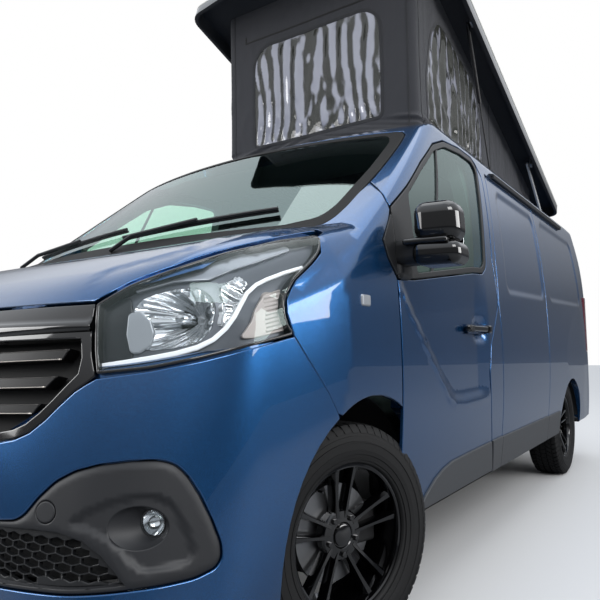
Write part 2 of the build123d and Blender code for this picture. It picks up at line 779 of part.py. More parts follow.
# Awning rail along the gutter on the sliding-door side
rail_x = half_width(1845)
with BuildPart() as awning_rail:
    with BuildSketch(Plane.XZ.offset(-1790)):
        with BuildLine():
            FilletPolyline(
                (rail_x - 6, 1838), (rail_x + 22, 1838), (rail_x + 24, 1862), (rail_x - 10, 1870),
                radius=4, close=True,
            )
        make_face()
        with Locations((rail_x + 12, 1849)):
            Circle(4, mode=Mode.SUBTRACT)
    extrude(amount=1790 - 10)
    add(outer, mode=Mode.SUBTRACT)

# Rear bumper, wrapped over the tail
with BuildPart() as rear_bumper:
    with BuildSketch(Plane.XY.offset(sill_height + 5)):
        with BuildLine():
            FilletPolyline((-935, 2280), (-935, tail_y), (935, tail_y), (935, 2280), radius=100, close=True)
        make_face()
    extrude(amount=225)
    add(outer, mode=Mode.SUBTRACT)

# Wheel-arch liners
liner_rows = [
    (front_arch[0], front_arch[1], front_arch[2] + seat_gap, liner_inner_x, 885, 345),
    (rear_axle_y, tyre_radius, well_radius - liner_thick - seat_gap, well_inner_x + seat_gap, 928, 385),
]


def liner(centre_y, centre_z, radius, inner_x, outer_x, low_z):
    """Left-hand arch liner: a half ring closed by a plate on its inner side."""
    with BuildPart() as ring:
        add(wheel_disc(centre_y, centre_z, radius + liner_thick, inner_x, outer_x))
        add(wheel_disc(centre_y, centre_z, radius, inner_x + liner_thick, 1000), mode=Mode.SUBTRACT)
        add(box_block((0, -2600, -200), (1000, 2600, low_z)), mode=Mode.SUBTRACT)
    return ring.part


with BuildPart() as arch_liners:
    for row in liner_rows:
        add(liner(*row))
        mirror(liner(*row), about=Plane.YZ)

# Steering wheel: its centre, and the tilt of its column
seat_x = 420
column_x = -seat_x
wheel_centre = (-1090, 1075)
column_tilt = math.radians(28)
wheel_plane = Plane(
    origin=(column_x, *wheel_centre), x_dir=(1, 0, 0), z_dir=(0, math.cos(column_tilt), math.sin(column_tilt))
)


def column_bar(start, end, radius):
    """Round bar on the steering column, between two distances from the wheel's centre."""
    with BuildPart() as bar:
        with BuildSketch(wheel_plane.offset(start)):
            Circle(radius)
        extrude(amount=end - start)
    return bar.part


# Dashboard across the cab
with BuildPart() as dashboard:
    add(
        side_block(
            [
                (-1554.7, 820), (-1554.7, 1080), (-1440, 1150), (-1240, 1120), (-1180, 1040),
                (-1200, 900), (-1330, 820),
            ],
            -770, 770, 20,
        )
    )
    add(side_block([(-1270, 1100), (-1250, 1165), (-1180, 1140), (-1200, 1060)], -560, -280, 8))
    add(column_bar(-150, -19, 34))
    add(column_bar(-30, 4, 8))

# Front seats on their pedestals
with BuildPart() as front_seats:
    for side in (-1, 1):
        add(
            box_block(
                (side * seat_x - 190, -900, sill_height + wall + seat_gap),
                (side * seat_x + 190, -480, 620),
            )
        )
        add(
            side_block(
                [(-960, 610), (-980, 740), (-480, 720), (-470, 610)], side * seat_x - 240,
                side * seat_x + 240, 30,
            )
        )
        add(
            side_block(
                [(-580, 690), (-420, 1300), (-320, 1290), (-450, 660)], side * seat_x - 235,
                side * seat_x + 235, 30,
            )
        )
        add(
            side_block(
                [(-430, 1280), (-410, 1480), (-330, 1480), (-340, 1270)], side * seat_x - 120,
                side * seat_x + 120, 25,
            )
        )

# Engine and gearbox as one plain block
with BuildPart() as engine_block:
    add(box_block((-399.7, -2230, 318.3), (399.7, -1740, 880)))

# Front subframe with lower arms, and chassis rails under the floor
rail_in_x, rail_out_x = 400, 460
ball_pin_radius = 9
with BuildPart() as subframe:
    add(box_block((-440, -1660, 200), (440, -1480, 262)))
    for side in (-1, 1):
        low_x, high_x = (rail_in_x, rail_out_x) if side > 0 else (-rail_out_x, -rail_in_x)
        add(box_block((low_x, -2330, 330), (high_x, -1600, 399)))
        add(box_block((low_x, -1700, 200), (high_x, -1600, 399)))
        add(box_block((low_x, -1660, 262), (high_x, 2300, sill_height - seat_gap)))
        arm_low, arm_high = sorted((side * 430, side * (kingpin_x + 14)))
        add(box_block((arm_low, front_axle_y - 30, 205), (arm_high, front_axle_y + 30, 235)))
        with BuildSketch(Plane.XY.offset(230)):
            with Locations((side * kingpin_x, front_axle_y)):
                Circle(ball_pin_radius)
        extrude(amount=28)
    add(box_block((-460, -2330, 330), (460, -2280, 399)))

# Rear axle beam with trailing arms and stub axles
stub_radius = 20
with BuildPart() as rear_axle:
    add(box_block((-700, rear_axle_y - 50, 200), (700, rear_axle_y + 50, 258)))
    for side in (-1, 1):
        low_x, high_x = (665, 700) if side > 0 else (-700, -665)
        add(box_block((low_x, rear_axle_y - 50, 200), (high_x, rear_axle_y + 50, 420)))
        low_x, high_x = (520, 580) if side > 0 else (-580, -520)
        add(box_block((low_x, rear_axle_y - 520, 205), (high_x, rear_axle_y, 255)))
        add(box_block((low_x, rear_axle_y - 520, 205), (high_x, rear_axle_y - 450, sill_height - seat_gap)))
        add(wheel_disc(rear_axle_y, tyre_radius, stub_radius, *sorted((side * 690, side * 845))))

# Exhaust pipe with its silencer, under the floor
with BuildPart() as exhaust:
    with BuildSketch(Plane.XZ.offset(1800)):
        with Locations((-240, 292)):
            Circle(26)
    extrude(amount=-4150)
    with BuildSketch(Plane.XZ.offset(-1800)):
        with Locations((-240, 240)):
            SlotOverall(300, 150)
    extrude(amount=-480)

# Fuel tank
with BuildPart() as fuel_tank:
    add(box_block((-180, -950, 205), (385, -50, sill_height - seat_gap)))
    fillet(fuel_tank.edges().filter_by(Axis.Y), 25)

# Frame round the roof opening, carrying the canvas
with BuildPart() as roof_frame:
    with BuildSketch(Plane.XY.offset(1900)):
        with Locations((0, (canvas_front_y + canvas_rear_y) / 2)):
            Rectangle(2 * canvas_half + 30, canvas_rear_y - canvas_front_y + 30)
            Rectangle(2 * opening_half, opening_rear_y - opening_front_y, mode=Mode.SUBTRACT)
    extrude(amount=roof_frame_top - 1900)
    for side in (-1, 1):
        for (foot_y, foot_z), pin_size, pin_end in ((arm_foot, 6, 745), (strut_foot, 4, 737)):
            low_x, high_x = sorted((side * 650, side * 722))
            add(box_block((low_x, foot_y - 22, 1900), (high_x, foot_y + 22, 1999)))
            low_x, high_x = sorted((side * 700, side * pin_end))
            add(wheel_disc(foot_y, foot_z, pin_size, low_x, high_x))
    add(outer, mode=Mode.SUBTRACT)

# Lifting roof, drawn shut and then turned up
lid_pole_turn = math.radians(lid_angle)
arm_head = hinged(arm_head_closed, arm_foot, -arm_turn)
half_chord = math.dist(arm_head, arm_head_closed) / 2
pole_reach = half_chord / math.tan(lid_pole_turn / 2)
chord_y, chord_z = arm_head[0] - arm_head_closed[0], arm_head[1] - arm_head_closed[1]
lid_pole = (
    (arm_head[0] + arm_head_closed[0]) / 2 + pole_reach * chord_z / (2 * half_chord),
    (arm_head[1] + arm_head_closed[1]) / 2 - pole_reach * chord_y / (2 * half_chord),
)
lid_ceiling = lid_top_height - lid_skin
lid_shoulder = (lid_half - 40, lid_top_height - 14)
with BuildPart() as lid_closed:
    with BuildSketch(Plane.XZ):
        with BuildLine():
            Line((-lid_half, lid_rim_height), (lid_half, lid_rim_height))
            Polyline(
                (lid_half, lid_rim_height), (lid_half, lid_top_height - 48),
                (lid_half - 10, lid_top_height - 24), lid_shoulder,
            )
            ThreePointArc(lid_shoulder, (0, lid_top_height), (-lid_shoulder[0], lid_shoulder[1]))
            Polyline(
                (-lid_shoulder[0], lid_shoulder[1]), (
                    10 - lid_half, lid_top_height - 24,
                ), (-lid_half, lid_top_height - 48),
                (-lid_half, lid_rim_height),
            )
        make_face()
    extrude(amount=length, both=True)
    with BuildSketch(Plane.XY.offset(lid_rim_height - 50)):
        with BuildLine():
            FilletPolyline(
                (-lid_half, lid_rear_y), (
                    -lid_half, lid_front_y + 60,
                ), (-300, lid_front_y), (300, lid_front_y),
                (lid_half, lid_front_y + 60), (lid_half, lid_rear_y), radius=70, close=True,
            )
        make_face()
    extrude(amount=300, mode=Mode.INTERSECT)
    add(
        box_block(
            (-lid_half + lid_skin, lid_front_y + 90, 1900),
            (lid_half - lid_skin, lid_rear_y - 40, lid_ceiling),
        ),
        mode=Mode.SUBTRACT,
    )
    for side in (-1, 1):
        for (head_y, head_z), pin_size, plate_x, pin_end in (
            (arm_head_closed, 6, 752, 725), (strut_head_closed, 5, 765, 739),
        ):
            low_x, high_x = sorted((side * plate_x, side * 790))
            add(box_block((low_x, head_y - 20, head_z - 14), (high_x, head_y + 20, lid_ceiling + 5)))
            low_x, high_x = sorted((side * 790, side * pin_end))
            add(wheel_disc(head_y, head_z, pin_size, low_x, high_x))
with BuildPart() as roof_lid:
    add(turned(lid_closed.part, lid_pole, -lid_angle))

# Canvas walls between the frame and the raised lid
ceiling_start = hinged((lid_front_y, lid_ceiling - 1), lid_pole, -lid_angle)
ceiling_end = hinged((lid_rear_y, lid_ceiling - 1), lid_pole, -lid_angle)
with BuildPart() as roof_canvas:
    with BuildSketch(Plane.XY.offset(roof_frame_top + seat_gap)):
        with Locations((0, (canvas_front_y + canvas_rear_y) / 2)):
            RectangleRounded(2 * canvas_half, canvas_rear_y - canvas_front_y, 30)
            RectangleRounded(
                2 * (canvas_half - canvas_wall), canvas_rear_y - canvas_front_y - 2 * canvas_wall, 20,
                mode=Mode.SUBTRACT,
            )
    extrude(amount=1300)
    add(
        side_block(
            [ceiling_start, ceiling_end, (ceiling_end[0], 4000), (ceiling_start[0], 4000)], -1000,
            1000,
        ),
        mode=Mode.SUBTRACT,
    )

# Lift arms at the rear corners of the lid
arm_thick = 12
arm_width = 36
with BuildPart() as lift_arms:
    for side in (-1, 1):
        inner_x = side * arm_x - arm_thick / 2
        add(arm([arm_foot, arm_head], arm_width, inner_x, inner_x + arm_thick, Plane.YZ))
        with BuildSketch(Plane.YZ.offset(inner_x)):
            with Locations(arm_foot, arm_head):
                Circle(6 + pin_gap)
        extrude(amount=arm_thick, mode=Mode.SUBTRACT)

# Gas struts: cylinders hinged to the lid, rods reaching down to the roof
strut_head = hinged(strut_head_closed, lid_pole, -lid_angle)
strut_open = math.dist(strut_head, strut_foot)
strut_shut = math.dist(strut_head_closed, strut_foot)
cylinder_length = 455
strut_way = [(b - a) / strut_open for a, b in zip(strut_head, strut_foot)]


def along_strut(distance):
    """Side-view point on the strut's line, measured down from its head."""
    return (strut_head[0] + strut_way[0] * distance, strut_head[1] + strut_way[1] * distance)


def strut_rod_solid(start, end, radius, centre_x):
    """Round bar on the strut's line between two distances from its head."""
    base = along_strut(start)
    plane = Plane(origin=(centre_x, base[0], base[1]), x_dir=(1, 0, 0), z_dir=(0, strut_way[0], strut_way[1]))
    with BuildPart() as bar:
        with BuildSketch(plane):
            Circle(radius)
        extrude(amount=end - start)
    return bar.part


with BuildPart() as strut_cylinders:
    for side in (-1, 1):
        add(strut_rod_solid(8, cylinder_length, 11, side * strut_x))
        add(wheel_disc(strut_head[0], strut_head[1], 12, side * strut_x - 5, side * strut_x + 5))
        add(
            strut_rod_solid(cylinder_length - 400, cylinder_length + 1, 4 + pin_gap, side * strut_x),
            mode=Mode.SUBTRACT,
        )
        add(
            wheel_disc(strut_head[0], strut_head[1], 5 + pin_gap, side * strut_x - 6, side * strut_x + 6),
            mode=Mode.SUBTRACT,
        )
with BuildPart() as strut_rods:
    for side in (-1, 1):
        add(strut_rod_solid(cylinder_length - 30, strut_open, 4, side * strut_x))
        add(wheel_disc(strut_foot[0], strut_foot[1], 9, side * strut_x - 5, side * strut_x + 5))
        add(
            wheel_disc(strut_foot[0], strut_foot[1], 4 + pin_gap, side * strut_x - 6, side * strut_x + 6),
            mode=Mode.SUBTRACT,
        )

# Wheels: tyre and alloy rim, drawn at the origin with the axle along X and the outer face at +X
with BuildPart() as tyre:
    with BuildSketch(Plane.XY):
        with BuildLine():
            FilletPolyline(
                (-92, rim_radius), (-108, 285), (-96, 330), (-80, tyre_radius), (80, tyre_radius),
                (96, 330), (108, 285), (92, rim_radius), radius=6, close=True,
            )
        make_face()
    revolve(axis=Axis.X)
with BuildPart() as rim:
    with BuildSketch(Plane.XY):
        with BuildLine():
            Polyline(
                (-88, rim_radius - seat_gap), (-88, 208), (-70, 204), (70, 204), (88, 212),
                (88, rim_radius - seat_gap), close=True,
            )
        make_face()
    revolve(axis=Axis.X)
    with BuildSketch(Plane.YZ.offset(34)):
        Circle(70)
        with PolarLocations(0, spoke_count, start_angle=90):
            for lean in (-1, 1):
                with BuildSketch(Plane.XY, mode=Mode.PRIVATE) as blade:
                    with BuildLine():
                        Polyline(
                            (50, lean * 8), (206, lean * 22), (206, lean * 48), (50, lean * 30),
                            close=True,
                        )
                    make_face()
                add(blade.sketch)
    extrude(amount=32)
    with BuildSketch(Plane.YZ.offset(-20)):
        Circle(45)
    extrude(amount=60)
    with BuildSketch(Plane.YZ.offset(-21)):
        Circle(stub_radius + pin_gap)
    extrude(amount=60, mode=Mode.SUBTRACT)

wheel_rows = [
    ("front_left", 1, front_axle_y, track_front / 2, steer_at_rest),
    ("front_right", -1, front_axle_y, track_front / 2, steer_at_rest),
    ("rear_left", 1, rear_axle_y, track_rear / 2, 0),
    ("rear_right", -1, rear_axle_y, track_rear / 2, 0),
]


def placed(part, side, centre_y, centre_x, steer):
    """A left-hand wheel piece moved to its corner and steered about its kingpin."""
    moved = Pos(centre_x, centre_y, tyre_radius) * part
    if side < 0:
        moved = mirror(moved, about=Plane.YZ)
    if steer:
        moved = moved.rotate(Axis((side * kingpin_x, centre_y, 0), (0, 0, 1)), steer)
    return moved


# Steering knuckles with stub axles
with BuildPart() as knuckle:
    add(box_block((kingpin_x - 60, -28, -103), (kingpin_x - 10, 28, 150)))
    add(box_block((kingpin_x - 60, -24, -103), (kingpin_x + 18, 24, -78)))
    with BuildSketch(Plane.XY.offset(-110)):
        with Locations((kingpin_x, 0)):
            Circle(ball_pin_radius + pin_gap)
    extrude(amount=26, mode=Mode.SUBTRACT)
    add(wheel_disc(0, 0, 48, kingpin_x - 20, kingpin_x + 8))
    add(wheel_disc(0, 0, stub_radius, kingpin_x, kingpin_x + 84))

# Steering wheel
with BuildPart() as steering_wheel:
    with BuildSketch(wheel_plane.offset(-12)):
        Circle(192)
        Circle(164, mode=Mode.SUBTRACT)
        Rectangle(340, 34)
        with Locations((0, -85)):
            Rectangle(34, 160)
        Circle(62)
    extrude(amount=24)
    add(column_bar(-14, 5, 8 + pin_gap), mode=Mode.SUBTRACT)

made = {
    "body_shell": body_shell.part, "windscreen": windscreen.part, "bonnet": bonnet.part, "front_bumper": front_bumper.part,
    "upper_grille": upper_grille.part, "lower_grille": lower_grille.part, "fog_lamps": fog_lamps.part,
    "wing_left": wing_left.part, "wing_right": right_hand["wing"],
    "headlamp_left": headlamp_left.part, "headlamp_right": right_hand["headlamp"],
    "door_left": door_left.part, "door_right": right_hand["door"],
    "door_glass_left": door_glass_left.part, "door_glass_right": right_hand["door_glass"],
    "mirror_left": mirror_left.part, "mirror_right": mirror(mirror_left.part, about=Plane.YZ),
    "sliding_door": sliding_door.part, "side_trims": side_trims.part, "awning_rail": awning_rail.part,
    "tailgate": tailgate.part, "tailgate_glass": tailgate_glass.part, "tail_lamps": tail_lamps.part,
    "rear_bumper": rear_bumper.part, "arch_liners": arch_liners.part, "dashboard": dashboard.part,
    "front_seats": front_seats.part, "engine_block": engine_block.part, "subframe": subframe.part,
    "rear_axle": rear_axle.part, "exhaust": exhaust.part, "fuel_tank": fuel_tank.part,
    "roof_frame": roof_frame.part, "roof_canvas": roof_canvas.part, "roof_lid": roof_lid.part,
    "lift_arms": lift_arms.part, "strut_cylinders": strut_cylinders.part, "strut_rods": strut_rods.part,
    "steering_wheel": steering_wheel.part,
}
for name, side, centre_y, centre_x, steer in wheel_rows:
    made["tyre_" + name] = placed(tyre.part, side, centre_y, centre_x, steer)
    made["rim_" + name] = placed(rim.part, side, centre_y, centre_x, steer)
for name, side in (("left", 1), ("right", -1)):
    made["knuckle_" + name] = placed(knuckle.part, side, front_axle_y, 0, steer_at_rest)

for name, solid in made.items():
    print(name, [round(s.volume) for s in solid.solids()], solid.is_valid)
    solid.label = name
    export_step(solid, f"parts/{name}.step")
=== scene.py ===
import math

import bmesh
import bpy
import numpy as np
from mathutils import Matrix, Vector, noise
from mathutils.geometry import delaunay_2d_cdt


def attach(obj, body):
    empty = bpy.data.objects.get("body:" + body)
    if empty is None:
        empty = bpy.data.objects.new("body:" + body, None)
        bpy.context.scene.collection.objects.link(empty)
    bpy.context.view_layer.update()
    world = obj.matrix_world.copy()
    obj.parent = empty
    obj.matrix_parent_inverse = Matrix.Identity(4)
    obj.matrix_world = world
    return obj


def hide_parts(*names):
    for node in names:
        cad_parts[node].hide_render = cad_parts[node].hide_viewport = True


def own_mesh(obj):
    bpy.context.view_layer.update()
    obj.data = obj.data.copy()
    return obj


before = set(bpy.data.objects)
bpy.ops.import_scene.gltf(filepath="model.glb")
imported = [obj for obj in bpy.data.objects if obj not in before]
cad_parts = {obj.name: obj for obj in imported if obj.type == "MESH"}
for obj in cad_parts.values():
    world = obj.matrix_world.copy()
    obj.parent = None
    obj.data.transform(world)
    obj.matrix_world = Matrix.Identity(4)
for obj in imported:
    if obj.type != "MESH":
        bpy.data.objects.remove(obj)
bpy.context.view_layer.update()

# The camera stands low in front of the van's left front corner, as the photographer did, and looks
# slightly up along the bonnet. Its place was fitted to the wheels, lamps and doors.
camera_yaw, camera_pitch, camera_roll = 0.597494, 0.084461, -0.013619
camera_data = bpy.data.cameras.new("camera")
camera_data.sensor_width = 36
camera_data.lens = 36.05
camera_data.clip_start = 0.05
camera = bpy.data.objects.new("camera", camera_data)
bpy.context.scene.collection.objects.link(camera)
ahead = math.cos(camera_pitch)
look = Vector((-math.sin(camera_yaw) * ahead, math.cos(camera_yaw) * ahead, math.sin(camera_pitch)))
level = Vector((math.cos(camera_yaw), math.sin(camera_yaw), 0))
upright = level.cross(look)
right = math.cos(camera_roll) * level + math.sin(camera_roll) * upright
above = math.cos(camera_roll) * upright - math.sin(camera_roll) * level
camera.matrix_world = Matrix((right, above, -look)).transposed().to_4x4()
camera.location = (1.82407, -3.24537, 0.9135)
bpy.context.scene.camera = camera
bpy.context.scene.view_settings.view_transform = "Standard"


# The body's outer surface: pressed steel panels that share one continuous form. The form is the meeting
# of a cross-section, a side profile and two plans, less the air over the bonnet and ahead of the
# windscreen.
def circle_through(a, b, c):
    """Centre and radius of the circle through three points."""
    (ax, ay), (bx, by), (cx, cy) = a, b, c
    d = 2 * (ax * (by - cy) + bx * (cy - ay) + cx * (ay - by))
    ux = ((ax**2 + ay**2) * (by - cy) + (bx**2 + by**2) * (cy - ay) + (cx**2 + cy**2) * (ay - by)) / d
    uy = ((ax**2 + ay**2) * (cx - bx) + (bx**2 + by**2) * (ax - cx) + (cx**2 + cy**2) * (bx - ax)) / d
    return ux, uy, math.hypot(ax - ux, ay - uy)


def half_width(z):
    """Half the body's width at a height."""
    rise = z - 0.85
    radius = np.where(rise > 0, 4.877, 3.2)
    return 0.978 - radius + np.sqrt(radius**2 - rise**2)


gutter = (float(half_width(np.array(1.88))), 1.88)
corner_x, corner_z, corner_r = circle_through(gutter, (0.847, 1.92), (0.8, 1.94))
roof_arc = circle_through((-0.8, 1.94), (0, 1.967), (0.8, 1.94))
nose_arc = circle_through((-2.44, 0.2), (-2.5, 0.6), (-2.4, 1.03))
top_arc = circle_through((-0.8, 1.912), (0.65, 1.968), (2.345, 1.938))
tail_corner = circle_through((2.345, 1.938), (2.382, 1.924), (2.398, 1.885))
tail_arc = circle_through((2.398, 1.885), (2.462, 1.2), (2.47, 0.56))
bonnet_arc = circle_through((-2.4, 1.03), (-2.12, 1.183), (-1.816, 1.275))
shoulder_arc = circle_through((0.8316, 1.274), (0.9236, 1.212), (0.9646, 1.084))
nose_axis, barrel_axis, hood_axis = -1.6, 1.0, 0.72
nose_radius, barrel_radius = 0.93, 0.95
screen_radius = 2.4


def plan_table():
    """Radius of the nose's plan about its axis, against the angle from straight ahead."""
    crown = circle_through((-0.65, -2.415), (0, -2.5), (0.65, -2.415))
    points = []
    a0 = math.atan2(-2.5 - crown[1], 0)
    a1 = math.atan2(-2.415 - crown[1], 0.65)
    for i in range(60):
        a = a0 + (a1 - a0) * i / 59
        points.append((crown[0] + crown[2] * math.cos(a), crown[1] + crown[2] * math.sin(a)))
    tangent = (-math.sin(a1), math.cos(a1))
    for start, end in (((0.65, -2.415), (0.93, -2.12)), ((0.93, -2.12), (0.99, -1.4))):
        chord = (end[0] - start[0], end[1] - start[1])
        normal = (-tangent[1], tangent[0])
        r = (chord[0] ** 2 + chord[1] ** 2) / (2 * (chord[0] * normal[0] + chord[1] * normal[1]))
        cx, cy = start[0] + normal[0] * r, start[1] + normal[1] * r
        b0 = math.atan2(start[1] - cy, start[0] - cx)
        b1 = math.atan2(end[1] - cy, end[0] - cx)
        for i in range(1, 60):
            b = b0 + (b1 - b0) * i / 59
            points.append((cx + abs(r) * math.cos(b), cy + abs(r) * math.sin(b)))
        tangent = (-math.sin(b1) * (1 if r > 0 else -1), math.cos(b1) * (1 if r > 0 else -1))
    points += [(0.99, -1.2), (0.99, -0.9), (0.99, -0.5), (0.99, 0.2), (0.99, 2), (0.99, 8)]
    angles = [math.atan2(x, -(y - nose_axis)) for x, y in points]
    return np.array(angles), np.array([math.hypot(x, y - nose_axis) for x, y in points])


plan_angles, plan_radii = plan_table()


def soft_max(a, b, k):
    """The larger of two fields, with their meeting edge rounded over k."""
    h = np.maximum(k - np.abs(a - b), 0) / np.maximum(k, 1e-6)
    return np.maximum(a, b) + h * h * k / 4


def body_field(p):
    """Below zero inside the body's form and above zero outside it, in about metres."""
    x, y, z = np.abs(p[..., 0]), p[..., 1], p[..., 2]
    side = x - half_width(np.clip(z, 0, 1.9))
    roof = np.hypot(x - roof_arc[0], z - roof_arc[1]) - roof_arc[2]
    corner = np.hypot(x - corner_x, z - corner_z) - corner_r
    in_corner = (x > 0.8) & (z > 1.88)
    section = np.where(
        in_corner, corner, np.maximum(np.where(z < 1.88, side, -1), np.where(x <= 0.8, roof, -1))
    )
    section = np.where((x > 0.8) & (z <= 1.88), side, section)
    nose_side = np.hypot(y - nose_arc[0], z - nose_arc[1]) - nose_arc[2]
    nose_side = np.where((z < 1.3) & (y < nose_arc[0]), nose_side, -1)
    top = np.hypot(y - top_arc[0], z - top_arc[1]) - top_arc[2]
    header = (z - 1.912 - (y + 0.8) * 0.15625) * 0.988
    brow = (z - 1.862 - (y + 1.12) * 0.30678) * 0.956
    top = np.where(y > -0.8, top, np.where(y > -1.12, header, brow))
    tail = np.hypot(y - tail_arc[0], z - tail_arc[1]) - tail_arc[2]
    rear = np.where(
        (y > 2.345) & (z > 1.885), np.hypot(y - tail_corner[0], z - tail_corner[1]) - tail_corner[2],
        np.maximum(top, tail)
    )
    angle = np.arctan2(x, -(y - 0.22 * (z - 0.6) - nose_axis))
    radius = np.hypot(x, y - 0.22 * (z - 0.6) - nose_axis)
    plan = (radius - np.interp(angle, plan_angles, plan_radii)) * 0.97
    taper = x - (0.99 - np.maximum(y - 0.9, 0) * 0.04200 / 1.58)
    end = y - 2.48
    q1, q2 = np.maximum(taper + 0.09, 0), np.maximum(end + 0.09, 0)
    tail_plan = np.where((q1 > 0) & (q2 > 0), np.hypot(q1, q2) - 0.09, np.maximum(taper, end))
    front = np.clip((-1.78 - y) / 0.25, 0, 1)
    base = soft_max(soft_max(section, plan, 0.03 * front), nose_side, 0.05 * front)
    back = 0.05 * np.clip((y - 2.0) / 0.3, 0, 1)
    base = soft_max(soft_max(base, rear, back), tail_plan, back)
    arc = np.hypot(y - bonnet_arc[0], z - bonnet_arc[1]) - bonnet_arc[2]
    arc = np.where(y < -1.816, arc, (z - 1.275 - (y + 1.816) * 0.18559) * 0.983)
    arc = np.where(y < -2.4, (z - 1.03 - (y + 2.4) * 0.075), arc)
    zs = z - 0.42105 * (y + 1.83)
    shoulder = np.hypot(x - shoulder_arc[0], zs - shoulder_arc[1]) - shoulder_arc[2]
    shoulder = (
        shoulder * 0.92 - 0.08 * np.clip((0.84 - x) / 0.10, 0, 1)
        - 0.08 * np.clip((1.13 - zs) / 0.08, 0, 1)
    )
    shoulder = np.where((x > 0.74) & (zs > 1.05), shoulder, -1)
    over = soft_max(arc, shoulder, 0.05)
    screen = -1.83 + screen_radius - np.sqrt(screen_radius**2 - np.minimum(x, 1.2) ** 2)
    screen = screen + (z - 1.27) * 1.344828
    ahead = (screen - y) * 0.58
    return soft_max(base, np.minimum(over, ahead), 0.05 + 0.028 * front)


def body_normal(p):
    """Outward normal of the form at points on it."""
    step = 0.0015
    n = np.stack(
        [body_field(p + step * np.eye(3)[i]) - body_field(p - step * np.eye(3)[i]) for i in range(3)], -1
    )
    return n / np.linalg.norm(n, axis=-1, keepdims=True)


def on_body(near, far, level=0.0):
    """Where rays from outside points to inside points first meet the form."""
    low, high = np.zeros(near.shape[:-1]), np.ones(near.shape[:-1])
    steps = 40
    found = np.zeros(low.shape, bool)
    for i in range(1, steps + 1):
        t = np.full(low.shape, i / steps)
        inside = (body_field(near + (far - near) * t[..., None]) < level) & ~found
        high[inside] = t[inside]
        low[inside] = t[inside] - 1 / steps
        found |= inside
    for _ in range(22):
        middle = (low + high) / 2
        inside = body_field(near + (far - near) * middle[..., None]) < level
        high, low = np.where(inside, middle, high), np.where(inside, low, middle)
    return near + (far - near) * ((low + high) / 2)[..., None]


# Panels are cut from that form. Each is drawn flat on a chart of the form, such as its side or nose, is
# meshed there, laid on the form and given a folded edge, as a pressed panel has round its shut lines.
def chart_rays(chart, uv):
    """Rays from outside to inside the form for points drawn on a chart."""
    u, v = uv[:, 0], uv[:, 1]
    o = np.zeros_like(u)
    if chart == "nose":
        d = np.stack([np.sin(u / nose_radius), -np.cos(u / nose_radius), o], -1)
        base = np.stack([o, o + nose_axis, v], -1)
        return base + 1.5 * d, base + 0.15 * d
    if chart == "barrel":
        d = np.stack([np.sin(u / barrel_radius), o, np.cos(u / barrel_radius)], -1)
        base = np.stack([o, v, o + barrel_axis], -1)
        return base + 1.6 * d, base + 0.1 * d
    if chart == "hood":
        d = np.stack([np.sin(u), o, np.cos(u)], -1)
        base = np.stack([o, v, o + hood_axis], -1)
        return base + 1.1 * d, base + 0.05 * d
    if chart == "side":
        return np.stack([o + 1.4, u, v], -1), np.stack([o + 0.2, u, v], -1)
    if chart == "top":
        return np.stack([u, v, o + 2.3], -1), np.stack([u, v, o + 0.9], -1)
    if chart == "back":
        return np.stack([u, o + 2.7, v], -1), np.stack([u, o + 1.8, v], -1)
    return np.stack([u, o - 2.6, v], -1), np.stack([u, o, v], -1)


def laid(chart, points, level=0.0):
    """Points of the form under chart points."""
    near, far = chart_rays(chart, np.array(points, float).reshape(-1, 2))
    return on_body(near, far, level)


def charted(chart, p):
    """Chart points of points of the form."""
    if chart == "nose":
        return np.stack([nose_radius * np.arctan2(p[:, 0], nose_axis - p[:, 1]), p[:, 2]], -1)
    if chart == "hood":
        return np.stack([np.arctan2(p[:, 0], p[:, 2] - hood_axis), p[:, 1]], -1)
    if chart == "barrel":
        return np.stack([barrel_radius * np.arctan2(p[:, 0], p[:, 2] - barrel_axis), p[:, 1]], -1)
    return p[:, {"side": (1, 2), "top": (0, 1), "back": (0, 2), "screen": (0, 2)}[chart]]


def moved(points, source, target):
    """An outline drawn on one chart, on another one."""
    return [tuple(p) for p in charted(target, laid(source, points))]


def side_outline(points, radius, step, first=0.012):
    """A rounded outline drawn on the side chart, laid over to the barrel chart."""
    return divided(moved(rounded(points, radius, first), "side", "barrel"), step)


def rounded(points, radius, step=0.012):
    """Closed outline with its corners rounded and its sides divided."""
    out = []
    count = len(points)
    radii = radius if isinstance(radius, (list, tuple)) else [radius] * count
    for i in range(count):
        a, b, c = (np.array(points[(i + k) % count], float) for k in (-1, 0, 1))
        u, w = a - b, c - b
        lu, lw = np.linalg.norm(u), np.linalg.norm(w)
        u, w = u / lu, w / lw
        half = math.acos(max(-1, min(1, float(u @ w)))) / 2
        cut = min(radii[i] / max(math.tan(half), 1e-3), 0.45 * lu, 0.45 * lw)
        if half > 1.54 or radii[i] <= 0:
            out.append(b)
            continue
        r = cut * math.tan(half)
        centre = b + (u + w) / np.linalg.norm(u + w) * (r / math.sin(half))
        start, end = b + u * cut, b + w * cut
        a0 = math.atan2(*(start - centre)[::-1])
        turn = (math.atan2(*(end - centre)[::-1]) - a0 + math.pi) % (2 * math.pi) - math.pi
        parts = max(3, int(abs(turn) / 0.22))
        for k in range(parts + 1):
            t = a0 + turn * k / parts
            out.append(centre + r * np.array([math.cos(t), math.sin(t)]))
    return divided(out, step)


def divided(points, step):
    """Closed outline with its long sides divided."""
    points = np.array(points, float)
    out = []
    for a, b in zip(points, np.roll(points, -1, 0)):
        parts = max(1, int(np.linalg.norm(b - a) / step + 0.5))
        out += [a + (b - a) * k / parts for k in range(parts)]
    return np.array(out)


def mirrored(half):
    """A closed outline from its half, which starts and ends on the centre line."""
    return [tuple(p) for p in half] + [(-u, z) for u, z in half[::-1] if u > 1e-6]


def arc_points(centre, radius, angles):
    """Points of a circle, at the given angles."""
    return [(centre[0] + radius * math.cos(a), centre[1] + radius * math.sin(a)) for a in angles]


def full_turn(count):
    """Evenly spaced angles round a circle."""
    return np.linspace(0, 2 * math.pi, count, endpoint=False)


